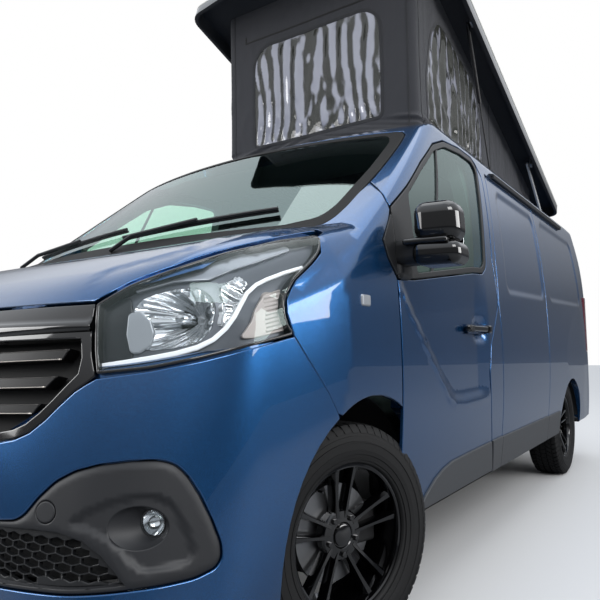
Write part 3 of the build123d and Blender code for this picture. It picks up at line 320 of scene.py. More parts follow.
def screen_line(y, across):
    """Points of the windscreen's curve in plan, with its middle at y."""
    return [(x, y + screen_radius - math.sqrt(screen_radius**2 - x * x)) for x in across]


def eased(t):
    """A smooth step over 0 to 1, level at both ends."""
    return t * t * (3 - 2 * t)


def ring_faces(rows, count, reverse=False):
    """Four-sided faces between closed rings of points, stored one after another."""
    faces = []
    for j in range(rows):
        for k in range(count):
            a, b = j * count + k, j * count + (k + 1) % count
            faces.append((a, a + count, b + count, b) if reverse else (a, b, b + count, a + count))
    return faces


def anticlockwise(loop):
    """The outline as an array that runs anticlockwise."""
    loop = np.array(loop, float)
    return loop if area(loop) > 0 else loop[::-1]


def area(loop):
    """Signed area of an outline, above zero when it runs anticlockwise."""
    x, y = loop[:, 0], loop[:, 1]
    return 0.5 * np.sum(x * np.roll(y, -1) - y * np.roll(x, -1))


def shifted(loop, amount):
    """Outline moved towards its left-hand side, which is inwards for one that runs anticlockwise."""
    before, after = loop - np.roll(loop, 1, 0), np.roll(loop, -1, 0) - loop
    before /= np.linalg.norm(before, axis=1)[:, None] + 1e-12
    after /= np.linalg.norm(after, axis=1)[:, None] + 1e-12
    middle = before + after
    middle /= np.linalg.norm(middle, axis=1)[:, None] + 1e-12
    left = np.stack([-middle[:, 1], middle[:, 0]], -1)
    spread = np.clip(np.sum(left * np.stack([-before[:, 1], before[:, 0]], -1), 1), 0.5, 1)
    return loop + left * (amount / spread)[:, None]


def within(points, loop):
    """Which points lie inside a closed outline."""
    inside = np.zeros(len(points), bool)
    for (x0, y0), (x1, y1) in zip(loop, np.roll(loop, -1, 0)):
        if y0 == y1:
            continue
        crosses = (points[:, 1] < y0) != (points[:, 1] < y1)
        inside ^= crosses & (points[:, 0] < x0 + (points[:, 1] - y0) * (x1 - x0) / (y1 - y0))
    return inside


def nearest(points, loops):
    """Distance of points from the nearest outline point."""
    best = np.full(len(points), 9.0)
    for loop in loops:
        for k in range(0, len(loop), 200):
            part = loop[k:k + 200]
            best = np.minimum(best, np.linalg.norm(points[:, None] - part[None], axis=2).min(1))
    return best


def skin(
    chart, outline, holes=(), grid=0.028, proud=0.002, flange=0.009, relief=None, rim=0.0018, level=0.0
):
    """Mesh of one panel: points, faces and a normal for every face corner."""
    loops = [np.array(outline, float)] + [np.array(h, float) for h in holes]
    loops = [loop if (area(loop) > 0) == (i == 0) else loop[::-1] for i, loop in enumerate(loops)]
    rings = [[loop, shifted(loop, 0.001), shifted(loop, 0.0035)] for loop in loops]
    flat = [ring for group in rings for ring in group]
    low, high = loops[0].min(0), loops[0].max(0)
    gu, gv = np.meshgrid(np.arange(low[0], high[0], grid), np.arange(low[1], high[1], grid * 0.866))
    gu = gu + (np.arange(gu.shape[0]) % 2)[:, None] * grid / 2
    seeds = np.stack([gu.ravel(), gv.ravel()], -1)
    seeds = seeds[within(seeds, loops[0])]
    for hole in loops[1:]:
        seeds = seeds[~within(seeds, hole)]
    seeds = seeds[nearest(seeds, [group[2] for group in rings]) > 0.5 * grid]
    points = np.concatenate(flat + [seeds])
    edges, at, starts = [], 0, []
    for ring in flat:
        n = len(ring)
        edges += [(at + k, at + (k + 1) % n) for k in range(n)]
        starts.append(at)
        at += n
    made = delaunay_2d_cdt([Vector(p) for p in points], edges, [], 0, 1e-7)
    uv = np.array([tuple(v) for v in made[0]])
    faces = np.array([f for f in made[2] if len(f) == 3])
    middle = uv[faces].mean(1)
    keep = within(middle, loops[0])
    for hole in loops[1:]:
        keep &= ~within(middle, hole)
    faces = faces[keep]
    origin = made[3]
    place = {}
    for new, old in enumerate(origin):
        for k in old:
            place[k] = new
    p = laid(chart, uv, level)
    n = body_normal(p)
    drop = np.zeros(len(uv))
    for i, start in enumerate(starts):
        for k in range(len(flat[i])):
            if start + k in place:
                drop[place[start + k]] = (rim, rim * 0.28, 0)[i % 3]
    q = p + n * (proud - drop)[:, None]
    if relief is not None:
        t1 = np.cross(n, [0.3, 0.2, 0.93])
        t1 /= np.linalg.norm(t1, axis=1)[:, None]
        t2 = np.cross(n, t1)
        e = 0.002
        d1 = (relief(p + e * t1) - relief(p - e * t1)) / (2 * e)
        d2 = (relief(p + e * t2) - relief(p - e * t2)) / (2 * e)
        q = q + n * relief(p)[:, None]
        n = n - d1[:, None] * t1 - d2[:, None] * t2
        n /= np.linalg.norm(n, axis=1)[:, None]
    geometric = np.cross(q[faces[:, 1]] - q[faces[:, 0]], q[faces[:, 2]] - q[faces[:, 0]])
    wrong = np.sum(geometric * n[faces[:, 0]], 1) < 0
    faces[wrong] = faces[wrong][:, ::-1]
    tilted = n.copy()
    extra, extra_faces, extra_normals = [], [], []
    for g in range(len(loops)):
        ids = [[place.get(starts[3 * g + j] + k) for k in range(len(flat[3 * g + j]))] for j in range(3)]
        count = len(ids[0])
        inner = np.array([q[ids[2][k]] if ids[2][k] is not None else q[ids[0][k]] for k in range(count)])
        edge = np.array([q[ids[0][k]] for k in range(count)])
        base = np.array([n[ids[0][k]] for k in range(count)])
        out = edge - inner
        out -= base * np.sum(out * base, 1)[:, None]
        out /= np.linalg.norm(out, axis=1)[:, None] + 1e-9
        for k in range(count):
            for j, angle in ((0, 1.15), (1, 0.6)):
                if ids[j][k] is not None:
                    tilted[ids[j][k]] = base[k] * math.cos(angle) + out[k] * math.sin(angle)
        if flange:
            first = len(q) + len(extra)
            extra += list(edge - base * flange)
            for k in range(count):
                m = (k + 1) % count
                a, b = ids[0][k], ids[0][m]
                quad = [a, b, first + m, first + k]
                face_n = np.cross(edge[m] - edge[k], -base[k])
                good = face_n @ out[k] > 0
                extra_faces.append(quad if good else quad[::-1])
                corner = [out[k], out[m], out[m], out[k]]
                extra_normals.append(corner if good else corner[::-1])
    verts = np.concatenate([q, np.array(extra).reshape(-1, 3)])
    all_faces = [tuple(int(i) for i in f) for f in faces] + [tuple(f) for f in extra_faces]
    normals = [tilted[i] for f in faces for i in f] + [c for quad in extra_normals for c in quad]
    return verts, all_faces, normals


def flipped(data):
    """The same panel for the other side."""
    verts, faces = np.array(data[0], float), data[1]
    if len(data) < 3 or data[2] is None:
        return verts * np.array([-1, 1, 1]), [tuple(f[::-1]) for f in faces], None
    normals, out, at = data[2], [], 0
    for f in faces:
        out += [c * np.array([-1, 1, 1]) for c in normals[at:at + len(f)][::-1]]
        at += len(f)
    return verts * np.array([-1, 1, 1]), [f[::-1] for f in faces], out


def piece(name, parts, materials, body="body", node=None, smooth=None):
    """One object from one or more meshes, riding a body and standing for CAD nodes."""
    mesh = bpy.data.meshes.new(name)
    verts, faces, index, normals = [], [], [], []
    for part in parts:
        data, slot = part if isinstance(part[1], int) else (part, 0)
        first = len(verts)
        verts += [tuple(v) for v in data[0]]
        faces += [tuple(i + first for i in f) for f in data[1]]
        index += [slot] * len(data[1])
        own = len(data) > 2 and data[2] is not None
        normals += list(data[2]) if own else [(0, 0, 0)] * sum(len(f) for f in data[1])
    mesh.from_pydata(verts, [], faces)
    for m in materials:
        mesh.materials.append(m)
    mesh.polygons.foreach_set("material_index", index)
    mesh.polygons.foreach_set("use_smooth", [True] * len(faces))
    if any(any(c) for c in normals[:3]):
        mesh.normals_split_custom_set([tuple(c) for c in normals])
    elif smooth is not None:
        mesh.set_sharp_from_angle(angle=smooth)
    mesh.update()
    obj = bpy.data.objects.new(name, mesh)
    bpy.context.scene.collection.objects.link(obj)
    if node:
        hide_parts(*([node] if isinstance(node, str) else node))
    if body:
        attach(obj, body)
    return obj


def linear(code):
    """Colour of a hex code in linear light."""
    values = [int(code[i:i + 2], 16) / 255 for i in (1, 3, 5)]
    return [v / 12.92 if v <= 0.04045 else ((v + 0.055) / 1.055) ** 2.4 for v in values] + [1]


def node(material, kind, links=(), **settings):
    """Adds a shader node; links are (its input, another node's output)."""
    tree = material.node_tree
    made = tree.nodes.new(kind)
    for key, value in settings.items():
        if hasattr(made, key):
            setattr(made, key, value)
        else:
            made.inputs[key.replace("_", " ")].default_value = value
    for name, source in links:
        tree.links.new(source, made.inputs[name])
    return made


def surface(name, colour, rough, metal=0.0, **more):
    """A material whose uniform numbers are set on its shader."""
    m = bpy.data.materials.new(name)
    m.use_nodes = True
    shader = m.node_tree.nodes["Principled BSDF"]
    shader.inputs["Base Color"].default_value = linear(colour)
    shader.inputs["Roughness"].default_value = rough
    shader.inputs["Metallic"].default_value = metal
    for key, value in more.items():
        shader.inputs[key.replace("_", " ")].default_value = value
    return m


def bumped(m, height, depth):
    """Adds a bump of a depth in metres to a material's normal."""
    bump = node(m, "ShaderNodeBump", [("Height", height)], Distance=depth)
    m.node_tree.links.new(bump.outputs["Normal"], m.node_tree.nodes["Principled BSDF"].inputs["Normal"])


def two_toned(m, factor, low, high):
    """Mixes a material's colour from two hex codes."""
    tint = node(m, "ShaderNodeMix", data_type="RGBA")
    tint.inputs[6].default_value, tint.inputs[7].default_value = linear(low), linear(high)
    m.node_tree.links.new(factor, tint.inputs[0])
    m.node_tree.links.new(tint.outputs[2], m.node_tree.nodes["Principled BSDF"].inputs["Base Color"])


def grained(m, size, depth, detail=3.0):
    """Fine moulded grain: a bump of a given size and depth in metres."""
    place = node(m, "ShaderNodeTexCoord")
    vector = [("Vector", place.outputs["Object"])]
    grain = node(m, "ShaderNodeTexNoise", vector, Scale=1 / size, Detail=detail)
    bumped(m, grain.outputs["Fac"], depth)
    return m


# Metallic blue paint: a dark blue base full of fine aluminium flakes under a clear lacquer.
blue_paint = surface(
    "metallic_blue_paint", "#17507f", 0.27, 0.85, Coat_Weight=1.0, Coat_Roughness=0.02, Coat_IOR=1.5
)
place = node(blue_paint, "ShaderNodeTexCoord")
flakes = node(blue_paint, "ShaderNodeTexVoronoi", [("Vector", place.outputs["Object"])], Scale=900.0)
two_toned(blue_paint, flakes.outputs["Color"], "#0f3c69", "#1f5f98")

# Body panels: pressed steel, with 5 mm shut lines between them. The bonnet comes first, then the bumper's
# skin, then the wing, which runs from the lamp to the door and over the arch.
black_gloss = surface("gloss_black_plastic", "#0b0b0c", 0.08, Coat_Weight=0.5, Coat_Roughness=0.03)
black_satin = grained(surface("satin_black_plastic", "#17181a", 0.42), 0.0009, 0.00006)
screen_rubber = surface("windscreen_rubber", "#0a0a0b", 0.6, Specular_IOR_Level=0.25)


def pair(name, parts, materials, body="body", nodes=None, smooth=None):
    """Left-hand and right-hand pieces from the left-hand one's meshes."""
    for hand in ("left", "right"):
        shapes = [(data if hand == "left" else flipped(data), slot) for data, slot in parts]
        piece(f"{name}_{hand}", shapes, materials, body.format(hand), nodes and nodes.format(hand), smooth)


lamp_top = [(0.643, 1.040), (0.724, 1.079), (0.825, 1.118), (0.956, 1.169), (1.111, 1.217), (1.278, 1.258)]
lamp_outer = [
    (1.232, 1.187), (1.189, 1.150), (1.121, 1.099), (1.083, 1.046), (1.078, 1.011), (1.089, 0.980),
    (1.108, 0.956)
]
lamp_bottom = [(0.980, 0.926), (0.871, 0.898), (0.771, 0.877), (0.659, 0.861)]
arch_centre, arch_r = (-1.612, 0.350), 0.427
rear_arch_centre, rear_arch_r = (1.531, 0.285), 0.401

bonnet_side = moved([(u, z + 0.006) for u, z in lamp_top], "nose", "hood")
bonnet_front = moved([(u, 1.0395) for u in np.linspace(0, 0.637, 16)], "nose", "hood")
bonnet_rear = moved([(0.842, -1.742)] + screen_line(-1.884, np.linspace(0.80, 0, 14)), "top", "hood")
half = list(bonnet_front) + list(bonnet_side[1:]) + list(bonnet_rear)
outline = divided(mirrored(half), 0.02)


def bonnet_press(p):
    """The bonnet's raised middle: a step that runs back from the grille and widens towards the screen."""
    x, y = np.abs(p[:, 0]), p[:, 1]
    ys = (-2.34, -2.29, -2.255, -2.232, -2.215, -2.19, -2.14, -2.02, -1.86)
    xs = (0.568, 0.545, 0.532, 0.555, 0.622, 0.700, 0.738, 0.742, 0.715)
    edge, slope = 0, 0
    for k in np.linspace(-0.030, 0.030, 9):
        edge = edge + np.interp(y + k, ys, xs) / 9
        slope = slope + (np.interp(y + k + 0.004, ys, xs) - np.interp(y + k - 0.004, ys, xs)) / 0.072
    t = np.clip((x - edge) / np.sqrt(1 + slope**2) / 0.034 + 0.5, 0, 1)
    fade = np.clip((y + 2.33) / 0.08, 0, 1) * np.clip((-1.90 - y) / 0.22, 0, 1)
    return 0.007 * (1 - eased(t)) * fade


piece("bonnet_panel", [skin("hood", outline, grid=0.022, relief=bonnet_press)], [blue_paint], "bonnet")

grille_low = [
    (0.659, 0.853), (0.636, 0.842), (0.610, 0.825), (0.575, 0.793), (0.540, 0.759), (0.502, 0.730),
    (0.461, 0.713), (0.415, 0.704), (0.20, 0.699)
]
shut_low = [(-1.818, 0.742), (-1.853, 0.797), (-1.928, 0.886), (-1.979, 0.950)]
bumper_arch = moved(arc_points(arch_centre, arch_r, np.linspace(3.42, 2.06, 12)), "side", "nose")
bumper_shut = moved(shut_low, "side", "nose")
half = [
    (0.0, 0.207), (0.40, 0.207), (0.80, 0.212), (bumper_arch[0][0] - 0.01, 0.222)
] + bumper_arch + bumper_shut
half += [(u, z - 0.006) for u, z in lamp_bottom] + grille_low[1:] + [(0.0, 0.697)]
outline = divided(mirrored(half), 0.02)
insert_top = [
    (0.451, 0.538), (0.493, 0.543), (0.514, 0.556), (0.544, 0.594), (0.582, 0.631), (0.626, 0.656),
    (0.678, 0.672), (0.736, 0.680), (0.790, 0.681), (0.822, 0.670)
]
insert_side = [
    (0.845, 0.642), (0.867, 0.600), (0.889, 0.545), (0.906, 0.492), (0.906, 0.462), (0.893, 0.443),
    (0.853, 0.430), (0.792, 0.424)
]
insert_low = [(0.741, 0.420), (0.615, 0.408), (0.468, 0.396), (0.25, 0.389)]
half = [(0.0, 0.536), (0.30, 0.536)] + insert_top + insert_side + insert_low + [(0.0, 0.387)]
insert_edge = rounded(mirrored(half), 0.10, 0.012)
piece("front_bumper_skin", [skin("nose", outline, [insert_edge], grid=0.032)], [blue_paint], "body")

wing = shut_low + moved([(u + 0.006, z) for u, z in lamp_outer[::-1]], "nose", "side")[1:]
wing += [
    (-1.806, 1.239), (-1.757, 1.262), (-1.737, 1.290), (-1.700, 1.302), (-1.600, 1.343), (-1.535, 1.382),
    (-1.420, 1.463), (-1.350, 1.513)
]
wing += [
    (-1.392, 1.465), (-1.412, 1.425), (-1.412, 1.386), (-1.437, 1.342), (-1.497, 1.270), (-1.470, 1.212),
    (-1.412, 1.150), (-1.412, 0.72)
]
wing += arc_points(arch_centre, arch_r, np.linspace(1.083, 2.02, 14))
outline = divided(moved(wing, "side", "barrel"), 0.016)
wing_data = skin("barrel", outline, grid=0.026)
pair("wing_skin", [(wing_data, 0)], [blue_paint])

# The door's shut lines, window surround and waist stamping. The door carries a deep folded stamping that
# sweeps down from the mirror and back along the sill.
surround = [
    (-1.402, 1.152), (-1.402, 1.397), (-1.228, 1.510), (-1.045, 1.649), (-0.846, 1.786), (-0.689, 1.847),
    (-0.469, 1.875), (-0.285, 1.877)
]
surround += [(-0.226, 1.826), (-0.395, 1.300), (-0.470, 1.262), (-0.600, 1.253), (-1.253, 1.164)]
door = [
    (-1.404, 0.345), (-1.404, 1.147), (-1.253, 1.159), (-0.600, 1.248), (-0.466, 1.257), (-0.390, 1.296),
    (-0.218, 1.832), (-0.236, 1.852)
]
door += [
    (-0.178, 1.798), (-0.184, 1.739), (-0.282, 1.338), (-0.264, 1.130), (-0.428, 0.932), (-0.460, 0.800),
    (-0.438, 0.600), (-0.378, 0.345)
]
crease = np.array(
    [
        (-1.372, 1.120), (-1.358, 1.081), (-1.229, 0.953), (-1.097, 0.833), (-0.984, 0.733),
        (-0.905, 0.698), (-0.80, 0.690), (-0.10, 0.700)
    ]
)


def door_press(p):
    """Step of the stamping: the field above and behind the sweep lies deeper than the rest of the door."""
    y, z = p[:, 1], p[:, 2]
    line = np.interp(y, crease[:, 0], crease[:, 1])
    slope = np.interp(y, (-1.36, -0.95, -0.88), (1.0, 1.0, 0.25))
    depth = (z - line) / np.sqrt(1 + slope**2)
    ramp = np.clip(depth / 0.050, 0, 1)
    lip = np.exp(-((depth + 0.006) / 0.011) ** 2) * 0.0034
    fade = np.clip((-0.435 - y) / 0.15, 0, 1) * np.clip((1.185 + (y + 1.4) * 0.09 - z) / 0.16, 0, 1)
    cup = np.exp(-(((y + 0.545) / 0.062) ** 4 + ((z - 0.996) / 0.05) ** 4)) * 0.014
    return (lip - 0.018 * eased(ramp)) * fade - cup


door_radii = [
    0.01, 0.004, 0.02, 0.1, 0.06, 0.06, 0.01, 0.012, 0.02, 0.1, 0.06, 0.12, 0.06, 0.06, 0.06, 0.02
]
door_data = skin("barrel", side_outline(door, door_radii, 0.016), grid=0.02, relief=door_press)
pair("door_skin", [(door_data, 0)], [blue_paint], "door_{}")

# Sliding door, then the body's skin over its sides and roof: blank pressed panels where windows would be.
# The skin has the door's opening on both sides, but only the left one holds a panel.
slide = [
    (-0.243, 0.345), (-0.243, 1.150), (-0.213, 1.345), (-0.092, 1.832), (0.898, 1.832), (0.892, 1.79),
    (0.798, 1.03), (0.758, 0.345)
]


def blank_press(p):
    """Recessed fields where windows would be, with a soft sloping edge."""
    y, z = p[:, 1], p[:, 2]
    total = 0
    for y0, y1 in ((-0.03, 0.83), (0.985, 2.13)):
        lean = 0.19 * (z - 1.5)
        u = np.minimum(y - (y0 + lean), (y1 + lean * (0.3 if y0 > 0.5 else 0.6)) - y)
        v = np.minimum(z - (1.188 + 0.02 * y), 1.785 - z)
        near_corner = 0.09 - np.hypot(np.maximum(0.09 - u, 0), np.maximum(0.09 - v, 0))
        d = np.where((u < 0.09) & (v < 0.09), near_corner, np.minimum(u, v))
        total = total + eased(np.clip(d / 0.040, 0, 1))
    return -0.008 * total


slide_edge = side_outline(slide, [0.02, 0.1, 0.1, 0.05, 0.03, 0.05, 0.1, 0.02], 0.018)
slide_data = skin("barrel", slide_edge, grid=0.013, relief=blank_press)
piece("sliding_door_skin", [slide_data], [blue_paint])

screen_edge = moved(
    [(x, 1.864 - 0.024 * (x / 0.8) ** 2) for x in np.linspace(0, 0.79, 9)]
    + [(0.816, 1.812), (0.828, 1.75), (0.838, 1.66), (0.843, 1.58)], "screen", "barrel"
)
opening = [
    (-1.346, 1.516), (-1.388, 1.467), (-1.406, 1.428), (-1.405, 1.402), (-1.230, 1.515), (-1.047, 1.654),
    (-0.848, 1.791), (-0.690, 1.852), (-0.469, 1.880)
]
opening += [
    (-0.284, 1.882), (-0.232, 1.862), (-0.172, 1.808), (-0.178, 1.739), (-0.276, 1.338), (-0.258, 1.130),
    (-0.422, 0.930), (-0.454, 0.800), (-0.432, 0.600), (-0.372, 0.338)
]
opening += [
    (-0.2475, 0.338), (-0.2475, 1.150), (-0.2175, 1.345), (-0.097, 1.8365), (0.903, 1.8365),
    (0.897, 1.79), (0.803, 1.03), (0.763, 0.338)
]
opening += arc_points(rear_arch_centre, rear_arch_r, np.linspace(3.009, 0.133, 24))
opening += [
    (2.27, 0.338), (2.40, 0.345), (2.40, 0.878), (2.334, 0.878), (2.334, 1.332), (2.40, 1.332),
    (2.40, 1.80)
]
half = screen_edge + moved(opening, "side", "barrel") + [(0.45, 2.40), (0.0, 2.40)]
outline = divided(mirrored([(max(u, 0), v) for u, v in half]), 0.02)
roof_hole = rounded([(-0.535, -0.36), (0.535, -0.36), (0.535, 1.88), (-0.535, 1.88)], 0.05, 0.03)
piece("body_skin", [skin("barrel", outline, [roof_hole], grid=0.016, relief=blank_press)], [blue_paint])

# Tail: the frame round the tailgate, and the tailgate with its window.
side_u = charted("barrel", laid("side", [(2.40, 0.35), (2.40, 0.878), (2.40, 1.332)]))[:, 0]


def tail_points(start, end, count):
    """Points where the side meets the tail, seen from behind."""
    return [(p[0], p[2]) for p in laid("barrel", [(u, 2.40) for u in np.linspace(start, end, count)])]


tail_edge, low_edge = tail_points(0, side_u[2], 40), tail_points(side_u[1], side_u[0], 16)
half = tail_edge + [(0.882, 1.332), (0.882, 0.878)] + low_edge + [
    (0.826, 0.345), (0.826, 0.561), (0.873, 0.66), (0.873, 1.15), (0.843, 1.56), (0.782, 1.871),
    (0.0, 1.871)
]
outline = divided(mirrored(half), 0.018)
piece("tail_frame_skin", [skin("back", outline, grid=0.03)], [blue_paint])
gate = [
    (0.820, 0.567), (0.868, 0.660), (0.868, 1.150), (0.838, 1.560), (0.776, 1.866), (-0.776, 1.866),
    (-0.838, 1.560), (-0.868, 1.150), (-0.868, 0.660), (-0.820, 0.567)
]
pane = [
    (0.720, 1.180), (0.770, 1.240), (0.748, 1.560), (0.690, 1.770), (-0.690, 1.770), (-0.748, 1.560),
    (-0.770, 1.240), (-0.720, 1.180)
]
pane_edge = rounded(pane, 0.06, 0.016)


def gate_press(p):
    """A shallow recess for the plate and a fold under the window."""
    u, v = 0.33 - np.abs(p[:, 0]), 0.085 - np.abs(p[:, 2] - 0.86)
    t = np.clip(np.minimum(u, v) / 0.02, 0, 1)
    fold = np.clip((p[:, 2] - 1.06) / 0.03, 0, 1)
    return -0.012 * eased(t) - 0.006 * eased(fold)


gate_data = skin("back", rounded(gate, 0.05, 0.02), [pane_edge], grid=0.03, relief=gate_press)
piece("tailgate_skin", [gate_data], [blue_paint], "tailgate")

# Insides of the bodywork: the shell, doors, tailgate and bonnet without their outer faces, in blue paint,
# grey trim or black sealer.
trim_grey = grained(surface("moulded_grey_trim", "#4a4c50", 0.6), 0.0012, 0.0001)
under_black = grained(surface("underbody_sealer", "#0c0c0d", 0.75), 0.004, 0.0004)


def lining(name, body):
    """The CAD node's faces behind its outer skin, with edges tucked under that skin."""
    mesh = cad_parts[name].data
    mesh.calc_loop_triangles()
    p = np.array([v.co for v in mesh.vertices])
    tri = np.array([t.vertices for t in mesh.loop_triangles])
    f = body_field(p)
    centre = p[tri].mean(1)
    n = np.cross(p[tri[:, 1]] - p[tri[:, 0]], p[tri[:, 2]] - p[tri[:, 0]])
    n /= np.linalg.norm(n, axis=1)[:, None] + 1e-12
    outward = body_normal(centre)
    outer = (f[tri].min(1) > -0.006) & (np.sum(n * outward, 1) > 0.45)
    tri, centre = tri[~outer], centre[~outer]
    for _ in range(3):
        f = body_field(p)
        high = f > -0.004
        if high.any():
            p[high] -= body_normal(p[high]) * (f[high] + 0.0055)[:, None]
    if name == "bonnet":
        rear = np.array([p[np.abs(p[:, 0] - c[0]) < 0.06, 1].max() for c in centre])
        kept = (centre[:, 1] < rear - 0.07) & (p[tri][:, :, 1].max(1) < rear - 0.035)
        tri, centre = tri[kept], centre[kept]
    slot = np.where(centre[:, 2] < 0.345, 2, np.where(body_field(centre) > -0.040, 0, 1))
    slot = np.where((centre[:, 1] < -1.52) & (slot == 1), 2, slot)
    parts = []
    for k in range(3):
        chosen = tri[slot == k]
        used, fresh = np.unique(chosen, return_inverse=True)
        if len(chosen):
            parts.append(((p[used], [tuple(t) for t in fresh.reshape(-1, 3)], None), k))
    piece(name + "_inside", parts, [blue_paint, trim_grey, under_black], body, name, smooth=0.6)


for name in ("body_shell", "wing_left", "wing_right", "front_bumper", "sliding_door"):
    lining(name, "body")
for name in ("bonnet", "tailgate", "door_left", "door_right"):
    lining(name, name)


# Glass: green-tinted, in thin panes that show the cab behind them and mirror what lies around.
def pane_glass(name, tint, ior=1.45):
    """Glass that tints what is seen through it and mirrors at its surface."""
    m = surface(name, "#000000", 0.0, IOR=ior, Specular_Tint=linear("#cfe8e2"))
    tree = m.node_tree
    clear = node(m, "ShaderNodeBsdfTransparent")
    clear.inputs["Color"].default_value = linear(tint)
    total = node(m, "ShaderNodeAddShader")
    tree.links.new(clear.outputs["BSDF"], total.inputs[0])
    tree.links.new(tree.nodes["Principled BSDF"].outputs["BSDF"], total.inputs[1])
    tree.links.new(total.outputs["Shader"], tree.nodes["Material Output"].inputs["Surface"])
    return m


tinted = pane_glass("green_tinted_glass", "#b9d6c8", 3.2)
privacy = pane_glass("dark_privacy_glass", "#3a4240", 1.7)
glass_half = [
    (0.0, 1.288), (0.70, 1.297), (0.795, 1.330), (0.816, 1.40), (0.813, 1.60), (0.795, 1.79),
    (0.765, 1.838), (0.0, 1.858)
]
outline = divided(mirrored(glass_half), 0.02)
pane_data = skin("screen", outline, grid=0.04, proud=0.0015, flange=0.005, rim=0)
piece("windscreen_pane", [pane_data], [tinted], "body", "windscreen")
trim_half = [
    (0.0, 1.272), (0.70, 1.281), (0.800, 1.300), (0.833, 1.34), (0.8405, 1.40), (0.8405, 1.58),
    (0.8355, 1.66), (0.8255, 1.75), (0.8135, 1.81), (0.787, 1.838), (0.0, 1.8625)
]
inner_half = [
    (0.0, 1.318), (0.68, 1.326), (0.780, 1.352), (0.798, 1.40), (0.795, 1.60), (0.777, 1.77),
    (0.745, 1.815), (0.0, 1.832)
]
outer_loop = rounded(mirrored(trim_half), 0.2, 0.02)
inner_loop = rounded(mirrored(inner_half), 0.2, 0.02)
trim_data = skin("screen", outer_loop, [inner_loop], grid=0.03, proud=0.0035, flange=0.004)
piece("windscreen_trim", [trim_data], [screen_rubber])

window = [
    (-1.236, 1.186), (-1.236, 1.478), (-1.047, 1.620), (-0.852, 1.755), (-0.692, 1.818), (-0.469, 1.846),
    (-0.300, 1.848), (-0.258, 1.812), (-0.423, 1.312), (-0.476, 1.287), (-0.600, 1.278)
]
window_radii = [0.012, 0.05, 0.25, 0.25, 0.2, 0.15, 0.05, 0.05, 0.05, 0.05, 0.1]
window_edge = moved(rounded(window, window_radii, 0.02), "side", "barrel")
surround_radii = [0.006, 0.02, 0.2, 0.3, 0.25, 0.2, 0.15, 0.07, 0.07, 0.06, 0.06, 0.1, 0.1]
surround_edge = moved(rounded(surround, surround_radii, 0.016), "side", "barrel")
pane_data = skin("barrel", window_edge, grid=0.03, proud=-0.004, flange=0.004, rim=0)
ring_data = skin("barrel", surround_edge, [window_edge], grid=0.02, proud=0.004, flange=0.008)
divider = [(-0.812, 1.792), (-0.794, 1.800), (-1.083, 1.196), (-1.105, 1.193)]
divider_edge = divided(moved(divider, "side", "barrel"), 0.016)
divider_data = skin("barrel", divider_edge, grid=0.02, proud=0.002, flange=0.006)
pair("door_pane", [(pane_data, 0)], [tinted], "door_{}", "door_glass_{}")
pair("window_surround", [(ring_data, 0), (divider_data, 0)], [black_satin], "door_{}")
sail = [(-1.494, 1.270), (-1.436, 1.344), (-1.409, 1.382), (-1.408, 1.153), (-1.468, 1.213)]
sail_data = skin("barrel", side_outline(sail, 0.006, 0.012), grid=0.02, proud=0.006, flange=0.010)
pair("mirror_sail", [(sail_data, 0)], [black_satin])
gate_glass = rounded([(x * 0.996, 1.18 + (z - 1.18) * 0.992 + 0.002) for x, z in pane], 0.06, 0.02)
gate_pane = skin("back", gate_glass, grid=0.04, proud=-0.002, flange=0.004, rim=0)
piece("tailgate_pane", [gate_pane], [privacy], "tailgate", "tailgate_glass")


def round_part(centre, axis, profile, segments=40, squash=(1, 1)):
    """Lathe work: profile pairs (radius, height along the axis) turned about an axis."""
    axis = np.array(axis, float) / np.linalg.norm(axis)
    helper = np.array([0, 0, 1.0]) if abs(axis[2]) < 0.9 else np.array([1.0, 0, 0])
    u = np.cross(helper, axis)
    u /= np.linalg.norm(u)
    w = np.cross(axis, u)
    verts = []
    for r, h in profile:
        for a in full_turn(segments):
            out = u * math.cos(a) * squash[0] + w * math.sin(a) * squash[1]
            verts.append(np.array(centre) + axis * h + out * max(r, 1e-5))
    return np.array(verts), ring_faces(len(profile) - 1, segments), None


# Headlamps: a clear moulded lens with a black rim over a grey housing, which holds a faceted main
# reflector with a frosted cap, a smaller outer reflector, a white light guide round them and a pale
# ribbed corner piece.
lamp = (
    [(0.659, 0.866), (0.651, 0.922), (0.647, 0.981), (0.646, 1.033)] + lamp_top[1:-1] + [(1.272, 1.250)]
    + lamp_outer + lamp_bottom[:-1]
)
lamp_radii = [
    0.006, 0.2, 0.2, 0.008, 0.2, 0.3, 0.5, 0.5, 0.012, 0.2, 0.2, 0.12, 0.1, 0.06, 0.04, 0.012, 0.3, 0.3,
    0.3
]
lamp_edge = anticlockwise(rounded(lamp, lamp_radii, 0.012))
clear_lens = pane_glass("clear_lamp_lens", "#f3f5f6")
lamp_chrome = surface("vacuum_metallised_reflector", "#dcdee0", 0.12, 1.0)
lamp_satin = surface("satin_lamp_housing", "#5f6268", 0.34, 0.55)
lamp_shelf = surface("bright_lamp_shelf", "#8f9298", 0.28, 0.7)
lamp_dark = surface("dark_lamp_housing", "#222428", 0.3, 0.2)
lamp_frost = surface("frosted_lamp_cap", "#9fa3a8", 0.32, 0.35)
light_guide = surface(
    "white_light_guide", "#f2f4f6", 0.25, Emission_Color=(1, 1, 1, 1), Emission_Strength=0.15
)
lamp_ribs = surface("pale_ribbed_lamp_corner", "#b4aba6", 0.42, 0.3)
lens_data = skin("nose", shifted(lamp_edge, 0.003), grid=0.03, proud=0.0012, flange=0.003, rim=0.001)
rim_data = skin("nose", lamp_edge, [shifted(lamp_edge, 0.0075)], grid=0.02, proud=0.0018, flange=0.055)
dark_area = [(0.664, 0.872), (0.656, 0.98), (0.655, 1.024), (0.725, 1.052), (0.735, 0.985), (0.733, 0.892)]
dark_data = skin("nose", rounded(dark_area, 0.01), grid=0.02, proud=0, flange=0.02, level=-0.019)
